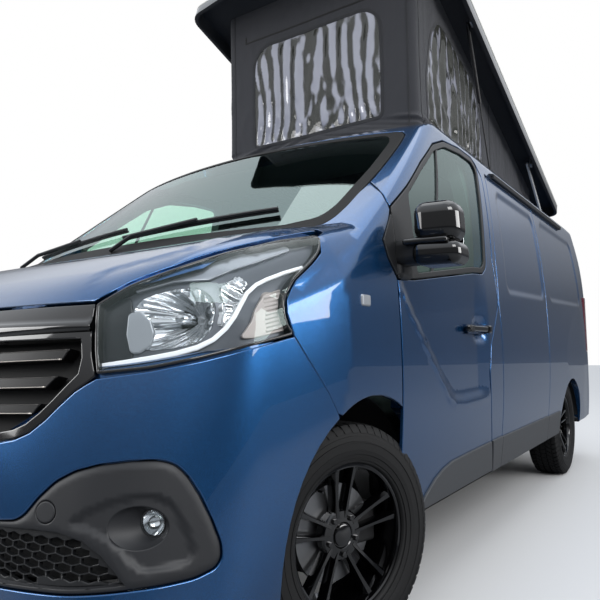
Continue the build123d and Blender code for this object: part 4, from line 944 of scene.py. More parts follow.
shelf = [
    (0.735, 1.058), (0.82, 1.082), (0.90, 1.088), (0.96, 1.118), (1.02, 1.140), (1.16, 1.195),
    (1.12, 1.206), (0.956, 1.160), (0.825, 1.110), (0.735, 1.075)
]
shelf_data = skin("nose", rounded(shelf, 0.006), grid=0.02, proud=0, flange=0.02, level=-0.016)


def lamp_part(points, level, radius=0.012, relief=None, grid=0.008):
    """A moulding inside the lamp, sunk to a level under the lens."""
    edge = rounded(points, radius, 0.007)
    return skin("nose", edge, grid=grid, proud=0, flange=0.014, rim=0.0008, level=level, relief=relief)


guide_line = np.array(
    [
        (0.664, 0.884), (0.718, 0.892), (0.771, 0.901), (0.822, 0.911), (0.868, 0.925), (0.902, 0.943),
        (0.930, 0.969), (0.951, 0.998), (0.969, 1.030), (0.986, 1.058), (1.012, 1.081), (1.043, 1.097),
        (1.099, 1.119), (1.169, 1.141)
    ]
)
along = np.gradient(guide_line, axis=0)
along /= np.linalg.norm(along, axis=1)[:, None]
guide_width = np.linspace(0.0064, 0.0044, len(guide_line))[:, None]
half_guide = guide_width * np.stack([-along[:, 1], along[:, 0]], -1)
guide_edge = np.concatenate([guide_line + half_guide, (guide_line - half_guide)[::-1]])
guide_data = skin(
    "nose", divided(guide_edge, 0.008), grid=0.006, proud=0, flange=0.012, rim=0.0012, level=-0.012
)
cap_outline = [
    (0.722, 1.008), (0.748, 1.012), (0.772, 0.988), (0.779, 0.961), (0.770, 0.930), (0.750, 0.914),
    (0.729, 0.912), (0.719, 0.956)
]
cap_data = lamp_part(cap_outline, -0.016)
second_outline = [
    (0.924, 1.070), (0.968, 1.102), (0.992, 1.088), (0.972, 1.042), (0.944, 0.994), (0.917, 0.962),
    (0.925, 1.009)
]


def second_form(p):
    """Shallow facets of the smaller reflector."""
    return 0.0025 * np.sin(p[:, 1] * 700 + 3 * np.sin(p[:, 2] * 60))


second_data = lamp_part(second_outline, -0.018, 0.008, second_form)
ribbed_outline = [
    (0.992, 0.985), (1.004, 1.018), (1.032, 1.055), (1.092, 1.078), (1.072, 1.045), (1.067, 1.012),
    (1.076, 0.984), (1.088, 0.966), (0.994, 0.945), (0.962, 0.944)
]


def ribbed_form(p):
    """Slanting ribs over the outer part of the corner piece."""
    u = charted("nose", p)[:, 0]
    return 0.0016 * np.sin((p[:, 2] - 0.25 * u) * 2 * math.pi / 0.0105) * (u > 1.03)


ribbed_data = lamp_part(ribbed_outline, -0.016, 0.006, ribbed_form, grid=0.0035)
bowl_outline = [
    (0.735, 1.018), (0.752, 1.040), (0.781, 1.053), (0.824, 1.064), (0.870, 1.068), (0.900, 1.052),
    (0.912, 1.020), (0.900, 0.968), (0.874, 0.936), (0.822, 0.924), (0.770, 0.918), (0.742, 0.930)
]
bowl_rim = divided(rounded(bowl_outline, 0.04, 0.01), 0.004)
rim_points = laid("nose", bowl_rim, -0.022)
middle = rim_points.mean(0)
back_data = skin(
    "nose", shifted(lamp_edge, 0.002), [bowl_rim], grid=0.02, proud=0, flange=0, rim=0, level=-0.024
)
bowl_verts, rings = [], 12
for j in range(rings + 1):
    t = j / rings
    spread = math.sqrt(1 - 0.97 * t)
    for k, q in enumerate(rim_points):
        side = (q - middle) * spread
        side[1] *= 1 - t
        scallop = 0.075 * abs(math.sin(math.pi * 17 * k / len(rim_points)))
        scallop *= min(j / 2, 1) * (1 - 0.6 * t)
        inward = np.array([0.006 * t, 0.090 * t, 0])
        bowl_verts.append(middle + side * (1 - 0.03 * min(j, 1) + scallop) + inward)
count = len(rim_points)
bowl_faces = ring_faces(rings, count) + [tuple(range(rings * count, (rings + 1) * count))]
bowl_data = (np.array(bowl_verts), bowl_faces, None)
pair("headlamp_lens", [(lens_data, 0)], [clear_lens])
pair("headlamp_rim", [(rim_data, 0)], [black_gloss], "body", "headlamp_{}")
pair(
    "headlamp_housing", [(back_data, 0), (dark_data, 1), (shelf_data, 2)],
    [lamp_satin, lamp_dark, lamp_shelf]
)
aim = np.array([0.30, -0.954, 0.0])
shield = round_part(
    middle + (0.0, 0.06, 0.0), aim,
    [(0.020, 0.0), (0.019, 0.030), (0.017, 0.048), (0.012, 0.056), (0.0, 0.058)], 28, (1, 0.75)
)
pair("headlamp_reflector", [(bowl_data, 0), (shield, 0)], [lamp_chrome], smooth=0.5)
pair(
    "headlamp_inner", [(guide_data, 0), (cap_data, 1), (second_data, 2), (ribbed_data, 3)],
    [light_guide, lamp_frost, lamp_chrome, lamp_ribs]
)


# Upper grille: a gloss black frame and top band over three satin slats. Each slat has a bright line along
# its low edge and a dull one along its top.
grille_back = surface("grille_shadow", "#050505", 0.7)
bright_line = surface("bright_slat_edge", "#b9b2aa", 0.3, 0.85)
dim_line = surface("dull_slat_edge", "#4a4744", 0.4, 0.5)
frame_half = (
    [(0.0, 0.700)] + grille_low[:0:-1]
    + [(0.657, 0.858), (0.645, 0.905), (0.640, 0.967), (0.560, 0.966), (0.342, 0.960), (0.0, 0.954)]
)
frame_half = [(u - 0.002 if u > 0 else 0, z + 0.003) for u, z in frame_half]
inner_half = [
    (0.0, 0.722), (0.20, 0.723), (0.405, 0.728), (0.449, 0.736), (0.485, 0.751), (0.520, 0.777),
    (0.553, 0.808), (0.585, 0.841), (0.612, 0.868), (0.618, 0.905), (0.612, 0.950), (0.342, 0.948),
    (0.0, 0.942)
]
band_half = [(0.0, 0.953), (0.342, 0.959), (0.560, 0.965), (0.639, 0.967), (0.641, 1.033), (0.0, 1.033)]


def band_form(p):
    """The top band swells out across its height."""
    t = np.clip((p[:, 2] - 0.955) / 0.045, 0, 1)
    return 0.010 * np.sin(math.pi * t) ** 2


def grille_part(half, step, slot, holes=(), **form):
    """One moulding of the grille from the half of its outline, with its material's slot."""
    return skin("nose", divided(mirrored(half), step), holes, **form), slot


inner_edge = divided(mirrored(inner_half), 0.016)
parts = [
    grille_part(frame_half, 0.016, 0, [inner_edge], grid=0.02, proud=0.0, flange=0.03),
    grille_part(band_half, 0.014, 0, grid=0.014, proud=0.001, flange=0.02, relief=band_form),
    grille_part(frame_half, 0.03, 1, grid=0.05, proud=0, flange=0, rim=0, level=-0.055),
]
rise = 0.016
for low, high, tip_low, tip_high in (
    (0.884, 0.909, 0.566, 0.583), (0.818, 0.844, 0.528, 0.557), (0.756, 0.779, 0.498, 0.517)
):
    face = [(0.0, low), (tip_low, low + rise), (tip_high, high + rise + 0.002), (0.0, high)]
    parts.append(grille_part(face, 0.014, 4, grid=0.014, proud=0, flange=0.034, rim=0.001, level=-0.010))
    for z0, z1, tip, slot in ((low - 0.0003, low + 0.0026, tip_low, 2), (high - 0.0014, high, tip_high, 3)):
        line = [(0.0, z0), (tip - 0.004, z0 + rise), (tip - 0.004, z1 + rise), (0.0, z1)]
        form = {"grid": 0.02, "proud": 0.0012, "flange": 0.004, "rim": 0.0004, "level": -0.010}
        parts.append(grille_part(line, 0.014, slot, **form))
slat_black = surface("satin_black_slat", "#070708", 0.36, Specular_IOR_Level=0.25)
piece(
    "upper_grille_face", parts, [black_gloss, grille_back, bright_line, dim_line, slat_black], "body",
    "upper_grille"
)

# Lower insert: satin dark plastic round the fog lamps, with a round towing cover on its left side and a
# honeycomb mesh in its middle.
insert_plastic = grained(surface("satin_dark_bumper_plastic", "#1d1e21", 0.52), 0.0008, 0.00005)
mesh_half = [
    (0.0, 0.525), (0.30, 0.525), (0.454, 0.524), (0.535, 0.528), (0.600, 0.527), (0.651, 0.514),
    (0.686, 0.489), (0.713, 0.457), (0.731, 0.431), (0.615, 0.419), (0.468, 0.406), (0.25, 0.399),
    (0.0, 0.397)
]
mesh_edge = anticlockwise(divided(mirrored(mesh_half), 0.014))
insert_edge = anticlockwise(insert_edge)
pocket = np.array([(0.752 + 0.055 * math.cos(a), 0.541 + 0.043 * math.sin(a)) for a in full_turn(40)])
fold_outline = [
    (0.604, 0.538), (0.648, 0.577), (0.696, 0.600), (0.747, 0.614), (0.790, 0.613), (0.822, 0.590),
    (0.848, 0.53), (0.862, 0.480), (0.845, 0.458), (0.760, 0.447), (0.735, 0.470), (0.700, 0.510),
    (0.655, 0.533)
]
fold = rounded(fold_outline, 0.06)
insert_fine, fold_fine, mesh_fine = [divided(loop, 0.0015) for loop in (insert_edge, fold, mesh_edge)]


def insert_form(p):
    """Rounded border, a sunk field round the lamp and a rounded edge beside the mesh."""
    q = charted("nose", p)
    q[:, 0] = np.abs(q[:, 0])
    border = np.clip(nearest(q, [insert_fine]) / 0.020, 0, 1)
    deep = np.clip(nearest(q, [fold_fine]) / 0.016, 0, 1) * np.where(within(q, fold), 1, 0)
    mesh = np.clip(nearest(q, [mesh_fine]) / 0.012, 0, 1)
    return -0.008 * (1 - border) ** 2 - 0.008 * eased(deep) - 0.004 * (1 - mesh) ** 2


cover_edge = np.array(arc_points((0.569, 0.566), 0.0235, full_turn(36)))
holes = [mesh_edge, pocket, pocket * np.array([-1, 1]), cover_edge]
insert_data = skin(
    "nose", shifted(insert_edge, 0.002), holes, grid=0.010, proud=0.003, flange=0.014, relief=insert_form
)
cell_w, cell_h, wire = 0.036, 0.0215, 0.0016
cell_corners = ((0, 1), (-1, 0.5), (-1, -0.5), (0, -1), (1, -0.5), (1, 0.5))
cells = []
for row in range(-1, 10):
    for col in range(-25, 26):
        cu, cz = col * cell_w + (row % 2) * cell_w / 2, 0.392 + row * cell_h * 0.75
        hexagon = np.array(
            [(cu + du * (cell_w / 2 - wire), cz + dz * (cell_h / 2 - wire)) for du, dz in cell_corners]
        )
        if within(hexagon, shifted(mesh_edge, 0.001)).all():
            cells.append(hexagon)
mesh_data = skin("nose", mesh_edge, cells, grid=0.05, proud=0, flange=0.010, rim=0.0006, level=-0.014)
mesh_back = skin("nose", divided(mesh_edge, 0.04), grid=0.05, proud=0, flange=0, rim=0, level=-0.045)
cover = skin(
    "nose", shifted(cover_edge, 0.0014), grid=0.01, proud=0.003, flange=0.010, rim=0.0012,
    relief=lambda p: insert_form(p) + 0.0006
)
piece(
    "lower_insert", [(insert_data, 0), (mesh_data, 1), (mesh_back, 2), (cover, 0)],
    [insert_plastic, black_satin, grille_back], "body", "lower_grille"
)

# Fog lamps: a small round lamp at the outer side of each moulded pocket.
rim_loop = laid("nose", pocket) + body_normal(laid("nose", pocket)) * -0.006
lamp_centre = laid("nose", [(0.781, 0.543)], -0.030)[0]
facing = np.array([0.34, -0.94, 0.0])
across = np.array([0.94, 0.34, 0.0])
funnel = []
for j in range(7):
    t = j / 6
    for k, a in enumerate(full_turn(40)):
        ring = lamp_centre + 0.029 * (across * math.cos(a) + np.array([0, 0, 1]) * math.sin(a))
        funnel.append(rim_loop[k] * (1 - t) + ring * t - (1 - t) * t * facing * 0.02 * (0.5 - eased(t)))
funnel_data = (np.array(funnel), ring_faces(6, 40), None)
fog_lens = round_part(lamp_centre, facing, [(0.0275, 0.001), (0.026, 0.006), (0.018, 0.009), (0.0, 0.010)])
fog_bowl = round_part(
    lamp_centre, facing,
    [(0.0285, 0.0), (0.026, -0.006), (0.020, -0.016), (0.010, -0.024), (0.0, -0.026)], 16
)
fog_ring = round_part(
    lamp_centre, facing, [(0.0305, -0.004), (0.0300, 0.004), (0.0272, 0.004), (0.0270, -0.002)]
)
pair("fog_pocket", [(funnel_data, 0), (fog_ring, 1)], [insert_plastic, black_gloss], smooth=0.7)
pair("fog_reflector", [(fog_bowl, 0)], [lamp_chrome])
pair("fog_lens", [(fog_lens, 0)], [clear_lens], smooth=1.2)
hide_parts("fog_lamps")


def rounded_box(low, high, radius, segments=4, change=None):
    """Box with rounded edges and exact normals; change(points) may bend it afterwards."""
    low, high = np.array(low, float), np.array(high, float)
    bm = bmesh.new()
    bmesh.ops.create_cube(bm, size=1.0)
    for v in bm.verts:
        v.co = Vector((np.array(v.co) + 0.5) * (high - low) + low)
    bmesh.ops.bevel(bm, geom=bm.edges[:], offset=radius, segments=segments, affect="EDGES", profile=0.5)
    verts = np.array([v.co for v in bm.verts])
    faces = [tuple(v.index for v in f.verts) for f in bm.faces]
    bm.free()
    core = np.clip(verts, low + radius, high - radius)
    n = verts - core
    n /= np.linalg.norm(n, axis=1)[:, None] + 1e-12
    if change is not None:
        verts = change(verts)
    return verts, faces, [n[i] for f in faces for i in f]


# Door mirrors: a gloss black cap over a lower shell, on a stubby arm from the corner of the window.
cap_low, cap_high = (1.030, -1.430, 1.262), (1.184, -1.278, 1.402)


def mirror_lean(v):
    """Housing narrower at its top and turned slightly back at its outer end."""
    out = v.copy()
    up = (v[:, 2] - 1.19) / 0.2
    out[:, 0] -= 0.012 * up * (v[:, 0] - 1.02) / 0.165
    out[:, 1] += 0.22 * np.maximum(v[:, 0] - 1.05, 0) * np.where(v[:, 1] < -1.36, 1, 0)
    out[:, 2] -= 0.05 * (v[:, 0] - 1.10) * np.where(v[:, 2] > 1.3, -0.3, 0.0)
    return out


mirror_glass = surface("mirror_glass", "#e6e9ea", 0.02, 1.0)
shell_parts = [
    (rounded_box(cap_low, cap_high, 0.046, 8, mirror_lean), 0),
    (rounded_box((1.026, -1.434, 1.187), (1.184, -1.276, 1.268), 0.034, 6, mirror_lean), 0),
    (rounded_box((1.000, -1.4360, 1.256), (1.150, -1.330, 1.276), 0.008, 3, mirror_lean), 0),
    (rounded_box((0.945, -1.412, 1.196), (1.060, -1.318, 1.286), 0.026, 5), 1),
    (rounded_box((0.925, -1.402, 1.150), (0.985, -1.300, 1.236), 0.022, 4), 1),
    (rounded_box((1.062, -1.2790, 1.215), (1.156, -1.2765, 1.370), 0.0012, 2), 2),
]
pair("mirror_housing", shell_parts, [black_gloss, black_satin, mirror_glass], "door_{}", "mirror_{}")

# Door handle: a black pull bar on two feet over a pressed cup.
handle_x = float(half_width(np.array(1.0)))


def handle_bow(v):
    """The bar bows in and thins towards its ends."""
    out = v.copy()
    t = (v[:, 1] + 0.611) / 0.151
    out[:, 0] -= 0.014 * np.abs(t) ** 3 * np.where(v[:, 0] > handle_x + 0.012, 1, 0)
    out[:, 2] += (v[:, 2] - 0.999) * -0.25 * np.abs(t) ** 3
    return out


bar = rounded_box(
    (handle_x + 0.010, -0.762, 0.984), (handle_x + 0.030, -0.460, 1.016), 0.009, 4, handle_bow
)
foot_front = rounded_box((handle_x - 0.010, -0.750, 0.986), (handle_x + 0.022, -0.700, 1.014), 0.008, 3)
foot_rear = rounded_box((handle_x - 0.010, -0.500, 0.982), (handle_x + 0.024, -0.464, 1.018), 0.008, 3)
pair("door_handle", [(bar, 0), (foot_front, 1), (foot_rear, 0)], [black_gloss, black_satin], "door_{}")

# Side repeater: a small pale lamp high on the wing.
spot = laid("side", [(-1.648, 1.063)])[0]
repeater = rounded_box((spot[0] - 0.008, -1.677, 1.044), (spot[0] + 0.008, -1.621, 1.080), 0.0075, 4)
pair("side_repeater", [(repeater, 0)], [lamp_frost])

# Lower trims: grained grey plastic strips clipped over the sills, rising behind the front arch.
trim_plastic = grained(surface("grained_grey_plastic", "#3b3d40", 0.55), 0.0012, 0.00012)
door_trim = [
    (-1.232, 0.346), (-1.184, 0.392), (-1.102, 0.438), (-1.02, 0.463), (-0.934, 0.477), (-0.700, 0.483),
    (-0.430, 0.487), (-0.410, 0.43), (-0.381, 0.346)
]
trim_edge = side_outline(door_trim, [0.004, 0.06, 0.1, 0.2, 0.2, 0.2, 0.006, 0.1, 0.004], 0.018)
trim_form = {"grid": 0.03, "proud": 0.010, "flange": 0.008, "rim": 0.003}
pair("door_trim", [(skin("barrel", trim_edge, **trim_form), 0)], [trim_plastic], "door_{}")
strips = []
for start, end in ((-0.370, -0.249), (-0.241, 0.757), (0.765, 1.118)):
    lean = 0.035 if start < -0.3 else 0.0
    corners = [(start, 0.340), (start - lean, 0.488), (end, 0.490), (end, 0.340)]
    strips.append(skin("barrel", side_outline(corners, 0.004, 0.02, 0.018), **trim_form))
sides = [(data, 0) for data in strips] + [(flipped(data), 0) for data in strips]
piece("side_trim_strips", sides, [trim_plastic], "body", "side_trims")

# Scuttle under the windscreen and its two wipers, in black plastic.
front_line = screen_line(-1.877, np.linspace(-0.79, 0.79, 40))
rear_line = screen_line(-1.822, np.linspace(0.79, -0.79, 40))
scuttle = skin("top", divided(front_line + rear_line, 0.02), grid=0.03, proud=0.001, flange=0.02)
piece("scuttle", [scuttle], [black_satin])


def swept(points, radius, sides=8, flat=1.0):
    """Round or flattened rod along points."""
    points = np.array(points, float)
    run = np.gradient(points, axis=0)
    run /= np.linalg.norm(run, axis=1)[:, None]
    verts = []
    for p, d in zip(points, run):
        u = np.cross(d, [0.1, 0.2, 0.97])
        u /= np.linalg.norm(u)
        w = np.cross(d, u)
        for a in full_turn(sides):
            verts.append(p + radius * (u * math.cos(a) + w * math.sin(a) * flat))
    last = (len(points) - 1) * sides
    ends = [tuple(range(sides))[::-1], tuple(range(last, last + sides))]
    return np.array(verts), ring_faces(len(points) - 1, sides) + ends, None


wipers = []
for x0, x1 in ((-0.66, -0.06), (0.00, 0.62)):
    on_glass = [(x, 1.335 + 0.05 * (x - x0) / (x1 - x0)) for x in np.linspace(x0, x1, 16)]
    line = laid("screen", on_glass)
    n = body_normal(line)
    wipers.append((swept(line + n * 0.012, 0.005, 6), 0))
    wipers.append((swept(line + n * 0.022, 0.0065, 6), 0))
    foot = laid("screen", [(x0, 1.285)])[0]
    arm_line = [foot + n[0] * 0.01, foot * 0.5 + line[4] * 0.5 + n[4] * 0.035, line[8] + n[8] * 0.03]
    wipers.append((swept(arm_line, 0.008, 6), 0))
piece("wipers", wipers, [black_satin], smooth=0.9)

# Tyres: black rubber with five rows of tread blocks. Alloys: gloss black, five pairs of spokes round a
# plain cap.
tyre_rubber = grained(surface("tyre_rubber", "#0e0e0f", 0.66, Specular_IOR_Level=0.35), 0.0012, 0.00008)
rim_gloss = surface("gloss_black_alloy", "#08080a", 0.12, 0.6, Coat_Weight=1.0, Coat_Roughness=0.04)
disc_iron = surface("machined_brake_disc", "#77787a", 0.32, 0.9)
caliper_iron = surface("cast_caliper", "#2c2c2d", 0.6, 0.5)
side_profile = [
    (0.2222, 0.086), (0.2245, 0.0935), (0.2290, 0.0965), (0.2330, 0.0962), (0.2336, 0.0995),
    (0.2375, 0.1005), (0.2382, 0.0985), (0.2500, 0.1012), (0.2508, 0.1035), (0.2640, 0.1060),
    (0.2646, 0.1048), (0.2860, 0.1056), (0.2866, 0.1074), (0.2905, 0.1074), (0.2912, 0.1046),
    (0.3060, 0.1030), (0.3066, 0.1012), (0.3180, 0.0990), (0.3185, 0.0975), (0.3270, 0.0940),
    (0.3330, 0.0895), (0.3362, 0.0840)
]
carcass_profile = (
    side_profile + [(0.3368, 0.0), (0.3362, -0.0850)]
    + [(r, -x) for r, x in side_profile[:-1][::-1]]
)
carcass = round_part((0, 0, 0), (1, 0, 0), carcass_profile, 96)
pitches = 62
step_angle = 2 * math.pi / pitches


def crown(x):
    """Radius of the tread's surface across its width."""
    return 0.3448 - 11.0 * max(abs(x) - 0.066, 0) ** 2 - (0.014 if abs(x) > 0.0965 else 0)


def tread_block(x0, x1, a0, a1, skew):
    """One rubber block between two levels of the tread, over an angle."""
    verts, faces = [], []
    xs, angles = np.linspace(x0, x1, 4), np.linspace(a0, a1, 4)
    for deep in (0, 1):
        for x in xs:
            for a in angles:
                t = a + skew * (x - x0)
                r = crown(x) if not deep else min(crown(x), 0.3368) - 0.003
                verts.append((x, r * math.cos(t), r * math.sin(t)))
    for j in range(3):
        for k in range(3):
            a = j * 4 + k
            faces.append((a, a + 1, a + 5, a + 4))
    edge = [0, 1, 2, 3, 7, 11, 15, 14, 13, 12, 8, 4]
    for a, b in zip(edge, edge[1:] + edge[:1]):
        faces.append((a, a + 16, b + 16, b))
    return np.array(verts), faces, None


one_pitch = []
for x0, x1, start, share, skew in (
    (-0.1010, -0.060, 0.0, 0.78, -1.2), (-0.054, -0.023, 0.45, 0.88, 1.8),
    (-0.0165, 0.0165, 0.1, 0.93, 0.0), (0.023, 0.054, 0.35, 0.88, 1.8), (0.060, 0.1010, 0.05, 0.78, -1.2)
):
    one_pitch.append((tread_block(x0, x1, start * step_angle, (start + share) * step_angle, skew), 0))
pitch_piece = piece("tread_pitch", one_pitch, [tyre_rubber], body=None)


def ring_of(source, count, material):
    """Copies of a mesh turned about the axle, made by geometry nodes and returned as points and faces."""
    group = bpy.data.node_groups.new("tread_ring", "GeometryNodeTree")
    for label, kind, way in (
        ("Geometry", "NodeSocketGeometry", "INPUT"), ("Count", "NodeSocketInt", "INPUT"),
        ("Geometry", "NodeSocketGeometry", "OUTPUT")
    ):
        group.interface.new_socket(label, in_out=way, socket_type=kind)
    n = {
        k: group.nodes.new(k) for k in (
            "NodeGroupInput", "NodeGroupOutput", "GeometryNodePoints", "GeometryNodeInstanceOnPoints",
            "GeometryNodeRealizeInstances", "GeometryNodeSetMaterial", "GeometryNodeInputIndex",
            "ShaderNodeCombineXYZ"
        )
    }
    turn = group.nodes.new("ShaderNodeMath")
    turn.operation = "DIVIDE"
    full = group.nodes.new("ShaderNodeMath")
    full.operation = "MULTIPLY"
    full.inputs[1].default_value = 2 * math.pi
    join = group.links.new
    join(n["NodeGroupInput"].outputs["Count"], n["GeometryNodePoints"].inputs["Count"])
    join(n["GeometryNodePoints"].outputs[0], n["GeometryNodeInstanceOnPoints"].inputs["Points"])
    join(n["NodeGroupInput"].outputs["Geometry"], n["GeometryNodeInstanceOnPoints"].inputs["Instance"])
    join(n["GeometryNodeInputIndex"].outputs[0], turn.inputs[0])
    join(n["NodeGroupInput"].outputs["Count"], turn.inputs[1])
    join(turn.outputs[0], full.inputs[0])
    join(full.outputs[0], n["ShaderNodeCombineXYZ"].inputs["X"])
    join(n["ShaderNodeCombineXYZ"].outputs[0], n["GeometryNodeInstanceOnPoints"].inputs["Rotation"])
    join(n["GeometryNodeInstanceOnPoints"].outputs[0], n["GeometryNodeRealizeInstances"].inputs[0])
    n["GeometryNodeSetMaterial"].inputs["Material"].default_value = material
    join(n["GeometryNodeRealizeInstances"].outputs[0], n["GeometryNodeSetMaterial"].inputs["Geometry"])
    join(n["GeometryNodeSetMaterial"].outputs[0], n["NodeGroupOutput"].inputs[0])
    modifier = source.modifiers.new("ring", "NODES")
    modifier.node_group = group
    socket = [item.identifier for item in group.interface.items_tree if item.name == "Count"][0]
    modifier[socket] = count
    result = bpy.data.meshes.new_from_object(source.evaluated_get(bpy.context.evaluated_depsgraph_get()))
    data = (np.array([v.co for v in result.vertices]), [tuple(f.vertices) for f in result.polygons], None)
    bpy.data.objects.remove(source)
    return data


tread = ring_of(pitch_piece, pitches, tyre_rubber)
barrel_profile = [
    (0.2214, 0.0872), (0.2150, 0.0880), (0.2100, 0.0850), (0.2070, 0.0760), (0.2040, 0.0560),
    (0.2010, 0.010), (0.2010, -0.06), (0.2080, -0.08), (0.2214, -0.0870)
]
rim_parts = [round_part((0, 0, 0), (1, 0, 0), barrel_profile, 96)]
hub_profile = [(0.078, 0.018), (0.078, 0.040), (0.072, 0.047), (0.040, 0.050), (0.036, 0.046), (0.0, 0.046)]
rim_parts.append(round_part((0, 0, 0), (1, 0, 0), hub_profile, 60))
bolt_profile = [(0.0085, 0.040), (0.0085, 0.0565), (0.007, 0.058), (0.0, 0.058)]
cap = round_part(
    (0, 0, 0), (1, 0, 0), [(0.0335, 0.047), (0.0325, 0.0525), (0.028, 0.0545), (0.0, 0.0555)], 48
)
for i in range(5):
    turn = math.radians(90 + 72 * i)
    for lean in (-1, 1):
        verts, stations = [], 9
        for j in range(stations):
            t = j / (stations - 1)
            r = 0.052 + t * 0.154
            c = lean * (0.0165 + 0.0215 * t)
            w = 0.0115 - 0.003 * math.sin(math.pi * t) + 0.0035 * t * t
            front = 0.0500 + 0.0230 * t ** 1.5
            for o, x in (
                (-w, front - 0.013), (-w * 0.55, front), (w * 0.45, front - 0.001), (w, front - 0.011),
                (w * 0.9, front - 0.036), (-w * 0.9, front - 0.036)
            ):
                q = c + o * lean
                place_y = r * math.cos(turn) - q * math.sin(turn)
                verts.append((x, place_y, r * math.sin(turn) + q * math.cos(turn)))
        rim_parts.append((np.array(verts), ring_faces(stations - 1, 6, lean < 0), None))
    bolt = turn + math.radians(36)
    bolt_centre = (0, 0.057 * math.cos(bolt), 0.057 * math.sin(bolt))
    rim_parts.append(round_part(bolt_centre, (1, 0, 0), bolt_profile, 6))
disc = round_part(
    (0, 0, 0), (1, 0, 0),
    [(0.070, 0.006), (0.150, 0.006), (0.150, -0.012), (0.070, -0.012), (0.070, 0.020), (0.0, 0.020)], 64
)
caliper = rounded_box((-0.050, 0.085, -0.055), (0.014, 0.175, 0.070), 0.012, 3)
cross_valve = round_part(
    (0.072, 0.19 * math.cos(2.2), 0.19 * math.sin(2.2)), (1, 0, 0),
    [(0.004, 0.0), (0.004, 0.02), (0.0, 0.021)], 10
)
front_axle_y, rear_axle_y, hub_z = -1.567, 1.531, 0.345
front_hub_x, rear_hub_x, kingpin_x, front_steer = 0.8075, 0.814, 0.752, -18
for name, side, y, x, steer in (
    ("front_left", 1, front_axle_y, front_hub_x, front_steer),
    ("front_right", -1, front_axle_y, front_hub_x, front_steer),
    ("rear_left", 1, rear_axle_y, rear_hub_x, 0), ("rear_right", -1, rear_axle_y, rear_hub_x, 0)
):

    def in_place(data, side=side, y=y, x=x, steer=steer):
        """A wheel piece drawn round the origin, moved to its corner and steered about its kingpin."""
        verts, faces, normals = np.array(data[0]) + (x, y, hub_z), list(data[1]), data[2]
        turn = math.radians(steer)
        if side < 0:
            verts, faces, normals = flipped((verts, faces, normals))
        turned_about = np.array([side * kingpin_x, y, 0])
        c, t = math.cos(turn), math.sin(turn)
        spin = np.array([[c, -t, 0], [t, c, 0], [0, 0, 1]])
        if normals is not None:
            normals = [spin @ c for c in normals]
        return (verts - turned_about) @ spin.T + turned_about, faces, normals

    body = "wheel_" + name
    tyre = [in_place(carcass), in_place(tread)]
    piece("tyre_rubber_" + name, tyre, [tyre_rubber], body, "tyre_" + name, smooth=0.7)
    alloy = [in_place(p) for p in rim_parts + [cross_valve]]
    piece("alloy_" + name, alloy, [rim_gloss], body, "rim_" + name, smooth=0.6)
    piece("wheel_cap_" + name, [in_place(cap)], [black_gloss], body, smooth=0.6)
    piece("brake_disc_" + name, [in_place(disc)], [disc_iron], body, smooth=0.6)
    held = "body" if name.startswith("rear") else "knuckle_" + name.split("_")[1]
    held_box = (in_place(caliper)[0], in_place(caliper)[1], None)
    piece("brake_caliper_" + name, [held_box], [caliper_iron], held, smooth=0.6)


# Lifting roof: a moulded shell, gloss black outside and dark grey inside, with a pale band round its
# shoulder, which is a painted highlight for the sky's reflection on its rounded edge, and four plated
# brackets on its sides. It is drawn shut and turned up about the point that its arms carry it round.
lid_pole, lid_turn = (2.415017, 1.814392), math.radians(19.8)


def raised(p):
    """Points of the shut roof carried to where it stands open."""
    p = np.array(p, float)
    dy, dz = p[..., 1] - lid_pole[0], p[..., 2] - lid_pole[1]
    c, t = math.cos(lid_turn), math.sin(lid_turn)
    return np.stack([p[..., 0], lid_pole[0] + c * dy + t * dz, lid_pole[1] - t * dy + c * dz], -1)


lid_corners = [
    (-0.808, 2.148), (-0.808, -0.825), (-0.32, -0.888), (0.32, -0.888), (0.808, -0.825), (0.808, 2.148)
]
lid_loop = anticlockwise(rounded(lid_corners, [0.07, 0.09, 0.5, 0.5, 0.09, 0.07], 0.03))
spine = np.stack([np.zeros(len(lid_loop)), np.clip(lid_loop[:, 1], -0.1, 1.4)], -1)
reach = np.linalg.norm(lid_loop - spine, axis=1)


def drawn_in(inset):
    """The lid's outline drawn in towards its spine by a distance."""
    return lid_loop + (spine - lid_loop) * np.minimum(inset / reach, 1)[:, None]


def shell_rings(levels, outward):
    """Rings of points from pairs (inset, height), joined in order into one smooth surface."""
    verts, count = [], len(lid_loop)
    for inset, z in levels:
        p = drawn_in(inset)
        swell = 0.012 * (1 - (p[:, 0] / 0.76) ** 2) * np.clip((inset - 0.05) / 0.2, 0, 1)
        dome = 0.0 if inset < 0.05 else swell
        verts += [tuple(q) for q in np.stack([p[:, 0], p[:, 1], z + dome + np.zeros(count)], -1)]
    return raised(verts), ring_faces(len(levels) - 1, count, not outward), None


outer = [
    (0.0, 1.957), (0.0, 1.975), (0.0, 2.016), (0.002, 2.026), (0.009, 2.039), (0.021, 2.047),
    (0.040, 2.0515)
]
outer += [(inset, 2.0535) for inset in (0.07, 0.12, 0.2, 0.32, 0.5, 0.65, 2.0)]
inner = [
    (0.0, 1.957), (0.010, 1.955), (0.024, 1.956), (0.027, 1.97), (0.028, 2.03), (0.032, 2.0355),
    (0.06, 2.0375)
]
# The band round the shoulder: a painted highlight that stands in for the sky's reflection on the shell's
# rounded edge.
highlight_band = [(0.0005, 2.0190), (-0.0016, 2.0205), (-0.0010, 2.0290), (0.0050, 2.0375), (0.0095, 2.0390)]
lid_black = surface("gloss_black_roof_shell", "#0d0e10", 0.16, Coat_Weight=0.6, Coat_Roughness=0.04)
lid_inside = grained(surface("dark_roof_lining", "#2a2b2e", 0.8), 0.004, 0.0006)
# The shoulder band's off-white colour is painted highlight.
painted_edge_highlight = surface("painted_roof_edge_highlight", "#d9d8d2", 0.4)
roof_parts = [(shell_rings(outer, True), 0), (shell_rings(inner, False), 1), (shell_rings(highlight_band, True), 2)]
ceiling = [
    np.column_stack([drawn_in(inset), np.full(len(lid_loop), 2.0375)]) for inset in (0.06, 0.3, 0.6, 2.0)
]
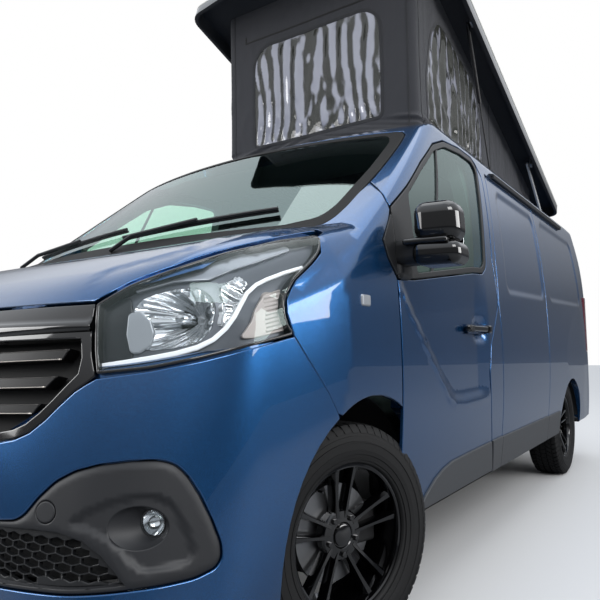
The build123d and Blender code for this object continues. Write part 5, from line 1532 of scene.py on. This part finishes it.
roof_parts.append(((raised(np.concatenate(ceiling)), ring_faces(3, len(lid_loop), True), None), 1))
for side in (-1, 1):
    for y, z, low, high in ((1.383, 1.980, 0.753, 0.768), (-0.070, 1.992, 0.766, 0.780)):
        x0, x1 = sorted((side * low, side * high))
        verts, faces, _ = rounded_box((x0, y - 0.022, z - 0.016), (x1, y + 0.022, 2.036), 0.002, 2)
        roof_parts.append(((raised(verts), faces, None), 3))
        x0, x1 = sorted((side * (high - 0.001), side * (high + 0.006)))
        verts, faces, _ = round_part(
            (x0 if side > 0 else x1, y, z), (side, 0, 0), [(0.009, 0), (0.009, 0.005), (0.0, 0.006)], 6
        )
        roof_parts.append(((raised(verts), faces, None), 3))
zinc = surface("zinc_plated_bracket", "#a9abad", 0.34, 0.9)
piece(
    "roof_shell", roof_parts, [lid_black, lid_inside, painted_edge_highlight, zinc], "roof_lid", "roof_lid",
    smooth=0.8
)

# Canvas: one sheet of dark charcoal cotton sewn into a ring, gathered over the roof's frame at its foot
# and stretched up to the raised shell. Rippled windows of clear vinyl are let into its front and left
# side. The right window's outline lies past the sheet's end, so that side is all cloth inside its tapes.
half_w, y_front, y_rear, corner = 0.643, -0.398, 1.948, 0.032
straight_x, straight_y, bend = half_w - corner, (y_rear - y_front) / 2 - corner, corner * math.pi / 2
lengths = [2 * straight_x, bend, 2 * straight_y, bend, 2 * straight_x, bend, 2 * straight_y, bend]
marks = np.cumsum([0] + lengths)
middle_y = (y_front + y_rear) / 2


def ring_point(u):
    """Place and outward direction at a distance along the ring, from the front wall's middle leftwards."""
    u = np.mod(np.asarray(u, float) + straight_x, marks[-1])
    x, y, nx, ny = (np.zeros_like(u) for _ in range(4))
    corners = ((1, -1, -90), (1, 1, 0), (-1, 1, 90), (-1, -1, 180))
    for k, (cx, cy, a0) in enumerate(corners):
        run = (u >= marks[2 * k]) & (u <= marks[2 * k + 1])
        d = u - marks[2 * k]
        turn = math.radians(a0)
        ex, ey = math.cos(turn), math.sin(turn)
        hx = cx * straight_x
        hy = middle_y + cy * straight_y
        length = lengths[2 * k]
        x = np.where(run, hx + corner * ex - (length - d) * -ey, x)
        y = np.where(run, hy + corner * ey - (length - d) * ex, y)
        nx, ny = np.where(run, ex, nx), np.where(run, ey, ny)
        arc = (u > marks[2 * k + 1]) & (u < marks[2 * k + 2])
        a = turn + (u - marks[2 * k + 1]) / corner
        x, y = np.where(arc, hx + corner * np.cos(a), x), np.where(arc, hy + corner * np.sin(a), y)
        nx, ny = np.where(arc, np.cos(a), nx), np.where(arc, np.sin(a), ny)
    return np.stack([x, y], -1), np.stack([nx, ny], -1)


def ceiling_height(y):
    """Height of the raised shell's ceiling above a point."""
    return 3.1432 - 0.3600 * (y + 0.6193) - 0.004


front_window = rounded(
    [(-0.428, 2.172), (-0.432, 2.45), (-0.425, 2.79), (0.425, 2.79), (0.432, 2.45), (0.428, 2.172)],
    [0.03, 0.5, 0.12, 0.12, 0.5, 0.03], 0.012
)
side_corners = [
    (-0.250, 2.115), (-0.258, 2.38), (-0.180, 2.66), (-0.060, 2.775), (0.30, 2.695), (0.53, 2.62),
    (0.650, 2.47), (0.672, 2.30), (0.660, 2.115)
]
side_window = rounded(side_corners, [0.03, 0.3, 0.2, 0.07, 0.4, 0.12, 0.12, 0.2, 0.03], 0.012)
side_start = straight_x + bend - (y_front + corner)
whole = marks[-1]
left_window = [(side_start + y, z) for y, z in side_window]
right_window = [(whole - side_start - y, z) for y, z in side_window]
windows = [anticlockwise(w) for w in (front_window, left_window, right_window)]
low_u, high_u = -whole / 2, whole / 2
columns = np.linspace(low_u, high_u, 420)


def top_of(u):
    """Height of the sheet's top edge along the ring."""
    return ceiling_height(ring_point(u)[0][:, 1])


foot_z = 1.9915
edge = [(u, foot_z) for u in columns] + [(u, t) for u, t in zip(columns[::-1], top_of(columns[::-1]))]
grid_points = []
for step, inside in ((0.0175, False), (0.0085, True)):
    gu, gz = np.meshgrid(
        np.arange(low_u + 0.006, high_u, step), np.arange(foot_z + 0.004, 3.07, step * 0.9)
    )
    gu = gu + (np.arange(gu.shape[0]) % 2)[:, None] * step / 2
    q = np.stack([gu.ravel(), gz.ravel()], -1)
    q = q[(q[:, 1] < top_of(q[:, 0]) - 0.4 * step) & (q[:, 0] < high_u - 0.004)]
    in_glass = np.zeros(len(q), bool)
    for w in windows:
        in_glass |= within(q, shifted(w, 0.003)) if inside else within(q, shifted(w, -0.004))
    grid_points.append(q[in_glass] if inside else q[~in_glass])
foot_u, foot_v = np.arange(low_u + 0.004, high_u, 0.011), foot_z + np.arange(0.004, 0.18, 0.0070)
foot_rows = np.stack(np.meshgrid(foot_u, foot_v), -1).reshape(-1, 2)
clear = np.concatenate([np.array(edge)] + windows + grid_points + [foot_rows])
constraint, at = [], 0
for loop in [edge] + windows:
    constraint += [(at + k, at + (k + 1) % len(loop)) for k in range(len(loop))]
    at += len(loop)
made = delaunay_2d_cdt([Vector(p) for p in clear], constraint, [], 0, 1e-6)
flat_uv = np.array([tuple(v) for v in made[0]])
tri = np.array([f for f in made[2] if len(f) == 3])
centres = flat_uv[tri].mean(1)
tri = tri[within(centres, np.array(edge))]
centres = flat_uv[tri].mean(1)
one, two = flat_uv[tri[:, 1]] - flat_uv[tri[:, 0]], flat_uv[tri[:, 2]] - flat_uv[tri[:, 0]]
signed = one[:, 0] * two[:, 1] - two[:, 0] * one[:, 1]
tri[signed < 0] = tri[signed < 0][:, ::-1]
glass_face = np.zeros(len(tri), bool)
for w in windows:
    glass_face |= within(centres, w)


def ripple(points, scale_u, scale_z, seed):
    """Smooth noise on the sheet, joined where the ring closes."""
    out = np.empty(len(points))
    r = whole / (2 * math.pi)
    for k, (u, z) in enumerate(points):
        a = u / r
        around = Vector((math.cos(a) * r * scale_u, math.sin(a) * r * scale_u + seed, z * scale_z + seed))
        out[k] = noise.noise(around)
    return out


def canvas_offset(q):
    """How far the cloth stands out from its frame's plane."""
    top = top_of(q[:, 0])
    height = (q[:, 1] - foot_z) / (top - foot_z)
    free = np.clip(height / 0.12, 0, 1) * np.clip((1 - height) / 0.08, 0, 1)
    d = 0.012 * ripple(q, 1.3, 0.9, 3.1) + 0.0045 * ripple(q, 7.0, 1.1, 9.7)
    d += 0.0025 * (1 - np.abs(ripple(q, 11.0, 3.5, 5.2)) * 4).clip(0, 1)
    d *= free
    low = np.clip(1 - (q[:, 1] - foot_z) / 0.17, 0, 1)
    swell = np.exp(-(((q[:, 1] - foot_z - 0.060) / 0.048) ** 2))
    swell = swell * (0.020 + 0.012 * ripple(q, 4.0, 4.0, 2.0))
    gather = ripple(q + np.stack([q[:, 1] * 0, 0.24 * np.abs(q[:, 0])], -1), 2.4, 34.0, 7.7)
    d += swell + low * (1 - low) * 4 * 0.018 * (1 - 3.0 * np.abs(gather))
    inside = np.zeros(len(q))
    for w in windows:
        sunk = within(q, w)
        if sunk.any():
            far = nearest(q[sunk], [w])
            inside[sunk] = np.clip(far / 0.045, 0, 1)
    swing = 0.25 + 2.2 * np.abs(ripple(q, 5.0, 3.2, 6.5))
    hang = 0.0068 * swing * np.sin(q[:, 0] * 2 * math.pi / 0.094 + 8.0 * ripple(q, 2.6, 1.8, 1.0))
    hang = hang + 0.006 * ripple(q, 20.0, 5.0, 4.0)
    crumple = 0.006 * ripple(q, 24.0, 17.0, 8.0) * np.clip((2.52 - q[:, 1]) / 0.3, 0.12, 1)
    return d * (1 - 0.5 * inside) + inside * (hang + crumple) * 0.9


def on_canvas(q, lift=0.0):
    """Points of the sheet in space."""
    q = np.array(q, float).reshape(-1, 2)
    place, facing = ring_point(q[:, 0])
    out = np.clip(canvas_offset(q), -0.012, 0.036) + lift
    return np.concatenate([place + facing * out[:, None], q[:, 1:2]], -1)


canvas_verts = on_canvas(flat_uv)
canvas_cloth = surface("charcoal_tent_cotton", "#2e2f34", 0.82, Sheen_Weight=0.15)
place = node(canvas_cloth, "ShaderNodeTexCoord")
weave_u, weave_z = [
    node(
        canvas_cloth, "ShaderNodeTexWave", [("Vector", place.outputs["Object"])], Scale=scale,
        bands_direction=way
    )
    for scale, way in ((420.0, "DIAGONAL"), (500.0, "Z"))
]
cross = node(canvas_cloth, "ShaderNodeMath", operation="ADD")
canvas_cloth.node_tree.links.new(weave_u.outputs["Fac"], cross.inputs[0])
canvas_cloth.node_tree.links.new(weave_z.outputs["Fac"], cross.inputs[1])
bumped(canvas_cloth, cross.outputs["Value"], 0.0002)
vinyl = bpy.data.materials.new("clear_window_vinyl")
vinyl.use_nodes = True
tree = vinyl.node_tree
shader = tree.nodes["Principled BSDF"]
shader.inputs["Roughness"].default_value = 0.07
shader.inputs["Specular IOR Level"].default_value = 1.0
# The vinyl's colour and see-through share follow its "fold" attribute, which holds painted reflection: pale
# and more opaque where the ripples face one way, olive-grey and clearer elsewhere, with ragged random haze
# mixed in.
fold = node(vinyl, "ShaderNodeAttribute", attribute_name="fold")
two_toned(vinyl, fold.outputs["Fac"], "#4b4c46", "#a0a2ae")
clear_part = tree.nodes.new("ShaderNodeBsdfTransparent")
clear_part.inputs["Color"].default_value = (0.86, 0.87, 0.89, 1)
seen_part = tree.nodes.new("ShaderNodeMixShader")
painted_sheen_mix = node(vinyl, "ShaderNodeMath", [(0, fold.outputs["Fac"])], operation="MULTIPLY_ADD")
painted_sheen_mix.inputs[1].default_value, painted_sheen_mix.inputs[2].default_value = 0.40, 0.55
tree.links.new(painted_sheen_mix.outputs["Value"], seen_part.inputs["Fac"])
tree.links.new(clear_part.outputs["BSDF"], seen_part.inputs[1])
tree.links.new(shader.outputs["BSDF"], seen_part.inputs[2])
tree.links.new(seen_part.outputs["Shader"], tree.nodes["Material Output"].inputs["Surface"])
sheet_parts = []
for slot, chosen in ((0, tri[~glass_face]), (1, tri[glass_face])):
    used, fresh = np.unique(chosen, return_inverse=True)
    sheet_parts.append(
        ((canvas_verts[used], [tuple(int(i) for i in t) for t in fresh.reshape(-1, 3)], None), slot)
    )
canvas = piece("tent_canvas", sheet_parts, [canvas_cloth, vinyl], "body", "roof_canvas", smooth=1.2)
weld = bmesh.new()
weld.from_mesh(canvas.data)
bmesh.ops.remove_doubles(weld, verts=weld.verts[:], dist=0.0004)
weld.to_mesh(canvas.data)
weld.free()
# The "fold" attribute is painted reflection: it is set from which way the sheet faces at each point, plus
# ragged noise for random haze.
lie = canvas.data.attributes.new("fold", "FLOAT", "POINT")
for vertex in canvas.data.vertices:
    n = vertex.normal
    slope = n.x if abs(n.y) > abs(n.x) else n.y
    drawn = Vector((vertex.co.x, vertex.co.y, vertex.co.z * 0.3)) * 31
    ragged = 0.16 * noise.noise(vertex.co * 17) + 0.12 * noise.noise(drawn)
    lie.data[vertex.index].value = min(max((slope + ragged + 0.03) / 0.11, 0.0), 1.0)

# Sewn tapes of the canvas: folded cotton strips round the windows and down the corners and sides, and a
# black strip along the rain flap's lower edge.
tape_cloth = canvas_cloth.copy()
tape_cloth.name = "charcoal_seam_tape"
tape_cloth.node_tree.nodes["Principled BSDF"].inputs["Base Color"].default_value = linear("#232428")


def tape(points, width, closed=False, lift=0.0022):
    """A flat strip sewn along a line of the sheet."""
    points = np.array(divided(points, 0.014) if closed else points, float)
    if not closed:
        fine = [points[0]]
        for a, b in zip(points[:-1], points[1:]):
            n = max(1, int(np.linalg.norm(b - a) / 0.014))
            fine += [a + (b - a) * (k + 1) / n for k in range(n)]
        points = np.array(fine)
    run = np.roll(points, -1, 0) - np.roll(points, 1, 0) if closed else np.gradient(points, axis=0)
    run /= np.linalg.norm(run, axis=1)[:, None] + 1e-12
    across = np.stack([-run[:, 1], run[:, 0]], -1)
    profile = [(-0.5, -0.001), (-0.46, lift), (-0.2, lift * 1.15)]
    profile += [(-t, h) for t, h in profile[::-1]]
    verts = np.concatenate([on_canvas(points + across * width * t, h) for t, h in profile])
    n = len(points)
    faces = [f for f in ring_faces(5, n) if closed or f[0] % n < n - 1]
    return verts, faces, None


tapes = [(tape(shifted(w, -0.009), 0.020, True), 0) for w in windows]
# A thin black strip along the rain flap's lower edge and up its two ends.
tapes.append((tape([(-0.50, 2.898), (-0.50, 2.856), (0.50, 2.856), (0.50, 2.898)], 0.010), 1))
corner_seams = (straight_x - 0.02, 0.02 - straight_x, straight_x + bend + 0.022, -straight_x - bend - 0.022)
side_seams = (side_start + 0.86, -side_start - 0.86)
for seams, foot, width in ((corner_seams, 0.06, 0.012), (side_seams, 0.05, 0.016)):
    for u in seams:
        top = float(top_of(np.array([u]))[0]) - 0.004
        tapes.append((tape([(u, foot_z + foot), (u, top)], width), 0))
canvas_tapes = piece(
    "canvas_tapes", tapes, [tape_cloth, surface("black_flap_edge_strip", "#050506", 0.6)], "body", smooth=0.9
)
one = canvas_verts[tri[:, 1]] - canvas_verts[tri[:, 0]]
two = canvas_verts[tri[:, 2]] - canvas_verts[tri[:, 0]]
spread = np.linalg.norm(np.cross(one, two), axis=1).sum() / 2
for cloth in (canvas, canvas_tapes):
    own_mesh(cloth)


# Plain steel, alloy and plastic nodes that keep their CAD shapes take their real finishes.
def finish(names, *materials):
    """Gives CAD nodes their materials."""
    for name in names:
        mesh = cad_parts[name].data
        mesh.materials.clear()
        for m in materials:
            mesh.materials.append(m)


anodised = surface("anodised_aluminium_arm", "#d4d6d7", 0.42, 0.55)
strut_black = surface("powder_black_strut", "#131314", 0.35, 0.3)
finish(["lift_arms"], anodised)
finish(["strut_cylinders", "strut_rods"], strut_black)
finish(
    ["roof_frame", "awning_rail", "arch_liners", "rear_bumper"],
    grained(surface("moulded_black_plastic", "#1b1c1e", 0.5), 0.0012, 0.0001)
)
finish(
    ["subframe", "rear_axle", "fuel_tank", "knuckle_left", "knuckle_right"],
    surface("painted_chassis_steel", "#1a1a1b", 0.55, 0.3)
)
finish(["exhaust"], surface("dull_exhaust_steel", "#6d6a66", 0.45, 0.85))
finish(["engine_block"], surface("cast_engine_alloy", "#55575a", 0.55, 0.7))
finish(["dashboard"], grained(surface("soft_dark_dashboard", "#232427", 0.6), 0.0011, 0.00012))
finish(["steering_wheel"], grained(surface("leather_wheel_rim", "#17171a", 0.5), 0.0009, 0.0001))


# Seats: two cab seats in dark grey cloth over foam, each a cushion, a back and a head restraint on a
# steel box. The cloth is sewn in a centre panel between raised bolsters, and the head restraints stand on
# two steel posts.
seat_cloth = surface("dark_grey_seat_cloth", "#2d2e32", 0.85, Sheen_Weight=0.2)
place = node(seat_cloth, "ShaderNodeTexCoord")
threads = node(seat_cloth, "ShaderNodeTexVoronoi", [("Vector", place.outputs["Object"])], Scale=600.0)
bumped(seat_cloth, threads.outputs["Distance"], 0.0004)
seat_steel = surface("painted_seat_box", "#1c1c1e", 0.5, 0.4)


def pad(low, high, radius, crown, seam, turn=0.0, pivot=(0, 0), up=2):
    """A sewn foam pad, crowned on its face, pinched at its seams and leant about a crosswise axis."""
    low, high = np.array(low, float), np.array(high, float)
    bm = bmesh.new()
    bmesh.ops.create_cube(bm, size=1.0)
    bmesh.ops.subdivide_edges(bm, edges=bm.edges[:], cuts=26, use_grid_fill=True)
    verts = np.array([v.co for v in bm.verts]) + 0.5
    faces = [tuple(v.index for v in f.verts) for f in bm.faces]
    bm.free()
    verts = verts * (high - low) + low
    core = np.clip(verts, low + radius, high - radius)
    away = verts - core
    size = np.linalg.norm(away, axis=1)[:, None]
    verts = core + away / np.maximum(size, 1e-9) * np.minimum(size, radius)
    across = (verts[:, 0] - (low[0] + high[0]) / 2) / ((high[0] - low[0]) / 2)
    other = 3 - up
    long = (verts[:, other] - (low[other] + high[other]) / 2) / ((high[other] - low[other]) / 2)
    face_side = (verts[:, up] - low[up]) / (high[up] - low[up])
    face_side = face_side if up == 2 else 1 - face_side
    lift = crown * (1 - long**2) * (1 - 0.4 * across**2)
    bolster = np.clip((np.abs(across) - 0.62) / 0.2, 0, 1) * np.clip((1.02 - np.abs(across)) / 0.2, 0, 1)
    lift = lift + 0.018 * bolster
    for line in seam:
        lift -= 0.010 * np.exp(-(((np.abs(across) - line) / 0.018) ** 2))
    for line in (-0.45, 0.0, 0.45):
        lift -= 0.005 * np.exp(-(((long - line) / 0.03) ** 2)) * (np.abs(across) < (seam[0] if seam else 0))
    verts[:, up] += (lift - crown) * np.clip(face_side * 2 - 1, 0, 1) * (1 if up == 2 else -1)
    verts[:, 0] -= 0.006 * across * (1 - long**2)
    c, t = math.cos(turn), math.sin(turn)
    dy, dz = verts[:, 1] - pivot[0], verts[:, 2] - pivot[1]
    verts[:, 1], verts[:, 2] = pivot[0] + c * dy - t * dz, pivot[1] + t * dy + c * dz
    return verts, faces, None


for hand, side in (("left", 1), ("right", -1)):
    cx = 0.42 * side
    for name, half_x, low, high, radius, swell, seam, turn, pivot, up, fill in (
        ("seat_cushion_", 0.238, (-0.968, 0.615), (-0.500, 0.738), 0.045, 0.020, (0.6,), 0.03,
         (-0.7, 0.68), 2, 0.75),
        ("seat_back_", 0.230, (-0.560, 0.680), (-0.455, 1.290), 0.045, 0.022, (0.6,), -0.235,
         (-0.520, 0.680), 1, 0.75),
        ("head_restraint_", 0.118, (-0.425, 1.315), (-0.335, 1.475), 0.038, 0.012, (), -0.06,
         (-0.38, 1.3), 1, 0.85),
    ):
        data = pad((cx - half_x, *low), (cx + half_x, *high), radius, swell, seam, turn, pivot, up)
        soft = piece(name + hand, [data], [seat_cloth], "body", smooth=1.5)
    stand = [(rounded_box((cx - 0.188, -0.898, 0.444), (cx + 0.188, -0.482, 0.622), 0.012, 2), 0)]
    stand += [(swept([(cx + x, -0.395, 1.22), (cx + x, -0.385, 1.33)], 0.006, 8), 1) for x in (-0.06, 0.06)]
    legs = piece("seat_stand_" + hand, stand, [seat_steel, zinc], "body", smooth=0.6)
    if side > 0:
        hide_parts("front_seats")

# Tail lamps: tall red mouldings that wrap round the rear corners. Each holds a pale and an amber field
# between two red ones.
lamp_red = surface("moulded_red_lens", "#7d0710", 0.1, Coat_Weight=1.0)
lamp_amber = surface("moulded_amber_lens", "#c2560a", 0.1, Coat_Weight=1.0)
lamp_white = surface("moulded_pale_lens", "#c8c9c9", 0.12, Coat_Weight=1.0)
for m, size in ((lamp_red, 95.0), (lamp_amber, 140.0), (lamp_white, 140.0)):
    place = node(m, "ShaderNodeTexCoord")
    ribs = node(
        m, "ShaderNodeTexWave", [("Vector", place.outputs["Object"])], Scale=size, bands_direction="Z"
    )
    bumped(m, ribs.outputs["Fac"], 0.0012)
finish(["tail_lamps"], lamp_red)
lamp_parts = []
for z0, z1, slot in ((0.895, 1.010, 0), (1.018, 1.075, 2), (1.083, 1.150, 1), (1.158, 1.318, 0)):

    def edge_x(z):
        """Half the body's width at the tail, at a height."""
        along = charted("barrel", laid("side", [(2.40, z)]))[0, 0]
        return float(laid("barrel", [(along, 2.40)])[0, 0])

    side_field = moved(
        rounded([(2.342, z0), (2.394, z0), (2.394, z1), (2.342, z1)], 0.006, 0.012), "side", "barrel"
    )
    lamp_parts.append((skin("barrel", side_field, grid=0.02, proud=0.0022, flange=0.004, rim=0.0015), slot))
    out = min(edge_x(z0), edge_x(z1)) - 0.004
    rear_field = rounded([(0.892, z0), (out, z0), (out, z1), (0.892, z1)], 0.006, 0.012)
    lamp_parts.append((skin("back", rear_field, grid=0.02, proud=0.0022, flange=0.004, rim=0.0015), slot))
pair("tail_lamp_fields", lamp_parts, [lamp_red, lamp_amber, lamp_white])

# Tailgate fittings: a grip strip over the recess, and a wiper parked across the window's foot.
strip = skin(
    "back", rounded([(-0.30, 0.956), (0.30, 0.956), (0.285, 0.990), (-0.285, 0.990)], 0.01, 0.012),
    grid=0.02, proud=0.012, flange=0.022, rim=0.003
)
glass_line = laid("back", [(x, 1.262 + 0.02 * (x + 0.02) / -0.46) for x in np.linspace(-0.46, -0.02, 12)])
glass_out = body_normal(glass_line)
gate_arm = [
    glass_line[4] + glass_out[4] * 0.012, glass_line[11] + glass_out[11] * 0.014,
    laid("back", [(0.0, 1.215)])[0] + (0, 0.008, 0)
]
gate_blade = swept(glass_line + glass_out * 0.006, 0.0045, 6)
gate_parts = [(strip, 0), (gate_blade, 0), (swept(gate_arm, 0.007, 6), 0)]
hub = laid("back", [(0.0, 1.210)])[0]
hub_profile = [(0.022, -0.004), (0.022, 0.010), (0.016, 0.016), (0.0, 0.017)]
gate_parts.append((round_part(hub, (0, 1, 0), hub_profile, 28), 0))
piece("tailgate_fittings", gate_parts, [black_satin], "tailgate", smooth=0.7)
reflectors = [
    (rounded_box((x0, 2.4965, 0.452), (x1, 2.4998, 0.482), 0.0014, 2), 0)
    for x0, x1 in ((0.660, 0.800), (-0.800, -0.660))
]
tread_strip = rounded_box((-0.62, 2.440, 0.5745), (0.62, 2.492, 0.5790), 0.002, 2)
piece("rear_bumper_fittings", reflectors + [(tread_strip, 1)], [lamp_red, black_satin])


# Studio: a pale floor, a white surround that the camera sees as white, and soft lamps.
floor_mesh = bpy.data.meshes.new("studio_floor")
floor_mesh.from_pydata([(-30, -30, 0), (30, -30, 0), (30, 30, 0), (-30, 30, 0)], [], [(0, 1, 2, 3)])
floor = bpy.data.objects.new("studio_floor", floor_mesh)
bpy.context.scene.collection.objects.link(floor)
pale_floor = surface("pale_floor", "#cfcfcf", 0.6)
eye = node(pale_floor, "ShaderNodeLightPath")
two_toned(pale_floor, eye.outputs["Is Camera Ray"], "#75777a", "#d2d2d2")
floor_mesh.materials.append(pale_floor)
world = bpy.data.worlds.new("studio")
bpy.context.scene.world = world
world.use_nodes = True
tree = world.node_tree
tree.nodes.clear()
out = tree.nodes.new("ShaderNodeOutputWorld")
seen = tree.nodes.new("ShaderNodeBackground")
seen.inputs["Color"].default_value = (1, 1, 1, 1)
lit = tree.nodes.new("ShaderNodeBackground")
lit.inputs["Strength"].default_value = 1.0
sky_place = tree.nodes.new("ShaderNodeTexCoord")
sky_split = tree.nodes.new("ShaderNodeSeparateXYZ")
tree.links.new(sky_place.outputs["Generated"], sky_split.inputs[0])
sky = tree.nodes.new("ShaderNodeValToRGB")
sky.color_ramp.elements[0].position, sky.color_ramp.elements[0].color = 0.0, (0.10, 0.11, 0.13, 1)
sky.color_ramp.elements[1].position, sky.color_ramp.elements[1].color = 1.0, (1.12, 1.20, 1.30, 1)
for spot, value in ((0.10, 0.13), (0.24, 0.33), (0.36, 0.85), (0.50, 1.0)):
    sky.color_ramp.elements.new(spot).color = (value * 0.94, value * 0.97, value * 1.02, 1)
tree.links.new(sky_split.outputs["Z"], sky.inputs["Fac"])
tree.links.new(sky.outputs["Color"], lit.inputs["Color"])
path = tree.nodes.new("ShaderNodeLightPath")
mix = tree.nodes.new("ShaderNodeMixShader")
tree.links.new(path.outputs["Is Camera Ray"], mix.inputs["Fac"])
tree.links.new(lit.outputs["Background"], mix.inputs[1])
tree.links.new(seen.outputs["Background"], mix.inputs[2])
tree.links.new(mix.outputs["Shader"], out.inputs["Surface"])
for name, spot, aim, size, power in (
    ("key", (6.0, -5.0, 5.5), (0, -0.5, 0.8), (4.0, 3.0), 300),
    ("fill", (-5.0, -6.0, 3.0), (0, -1.0, 0.8), (4.0, 2.5), 160),
    ("top", (0.5, 0.0, 7.0), (0, 0, 1.0), (5.0, 6.0), 90),
    ("side", (7.5, 1.5, 2.6), (0, 0.5, 1.0), (5.0, 1.6), 200),
):
    data = bpy.data.lights.new(name, "AREA")
    data.shape, data.size, data.size_y, data.energy = "RECTANGLE", size[0], size[1], power
    lamp = bpy.data.objects.new(name, data)
    lamp.location = spot
    lamp.rotation_euler = (Vector(aim) - Vector(spot)).to_track_quat("-Z", "Y").to_euler()
    bpy.context.scene.collection.objects.link(lamp)
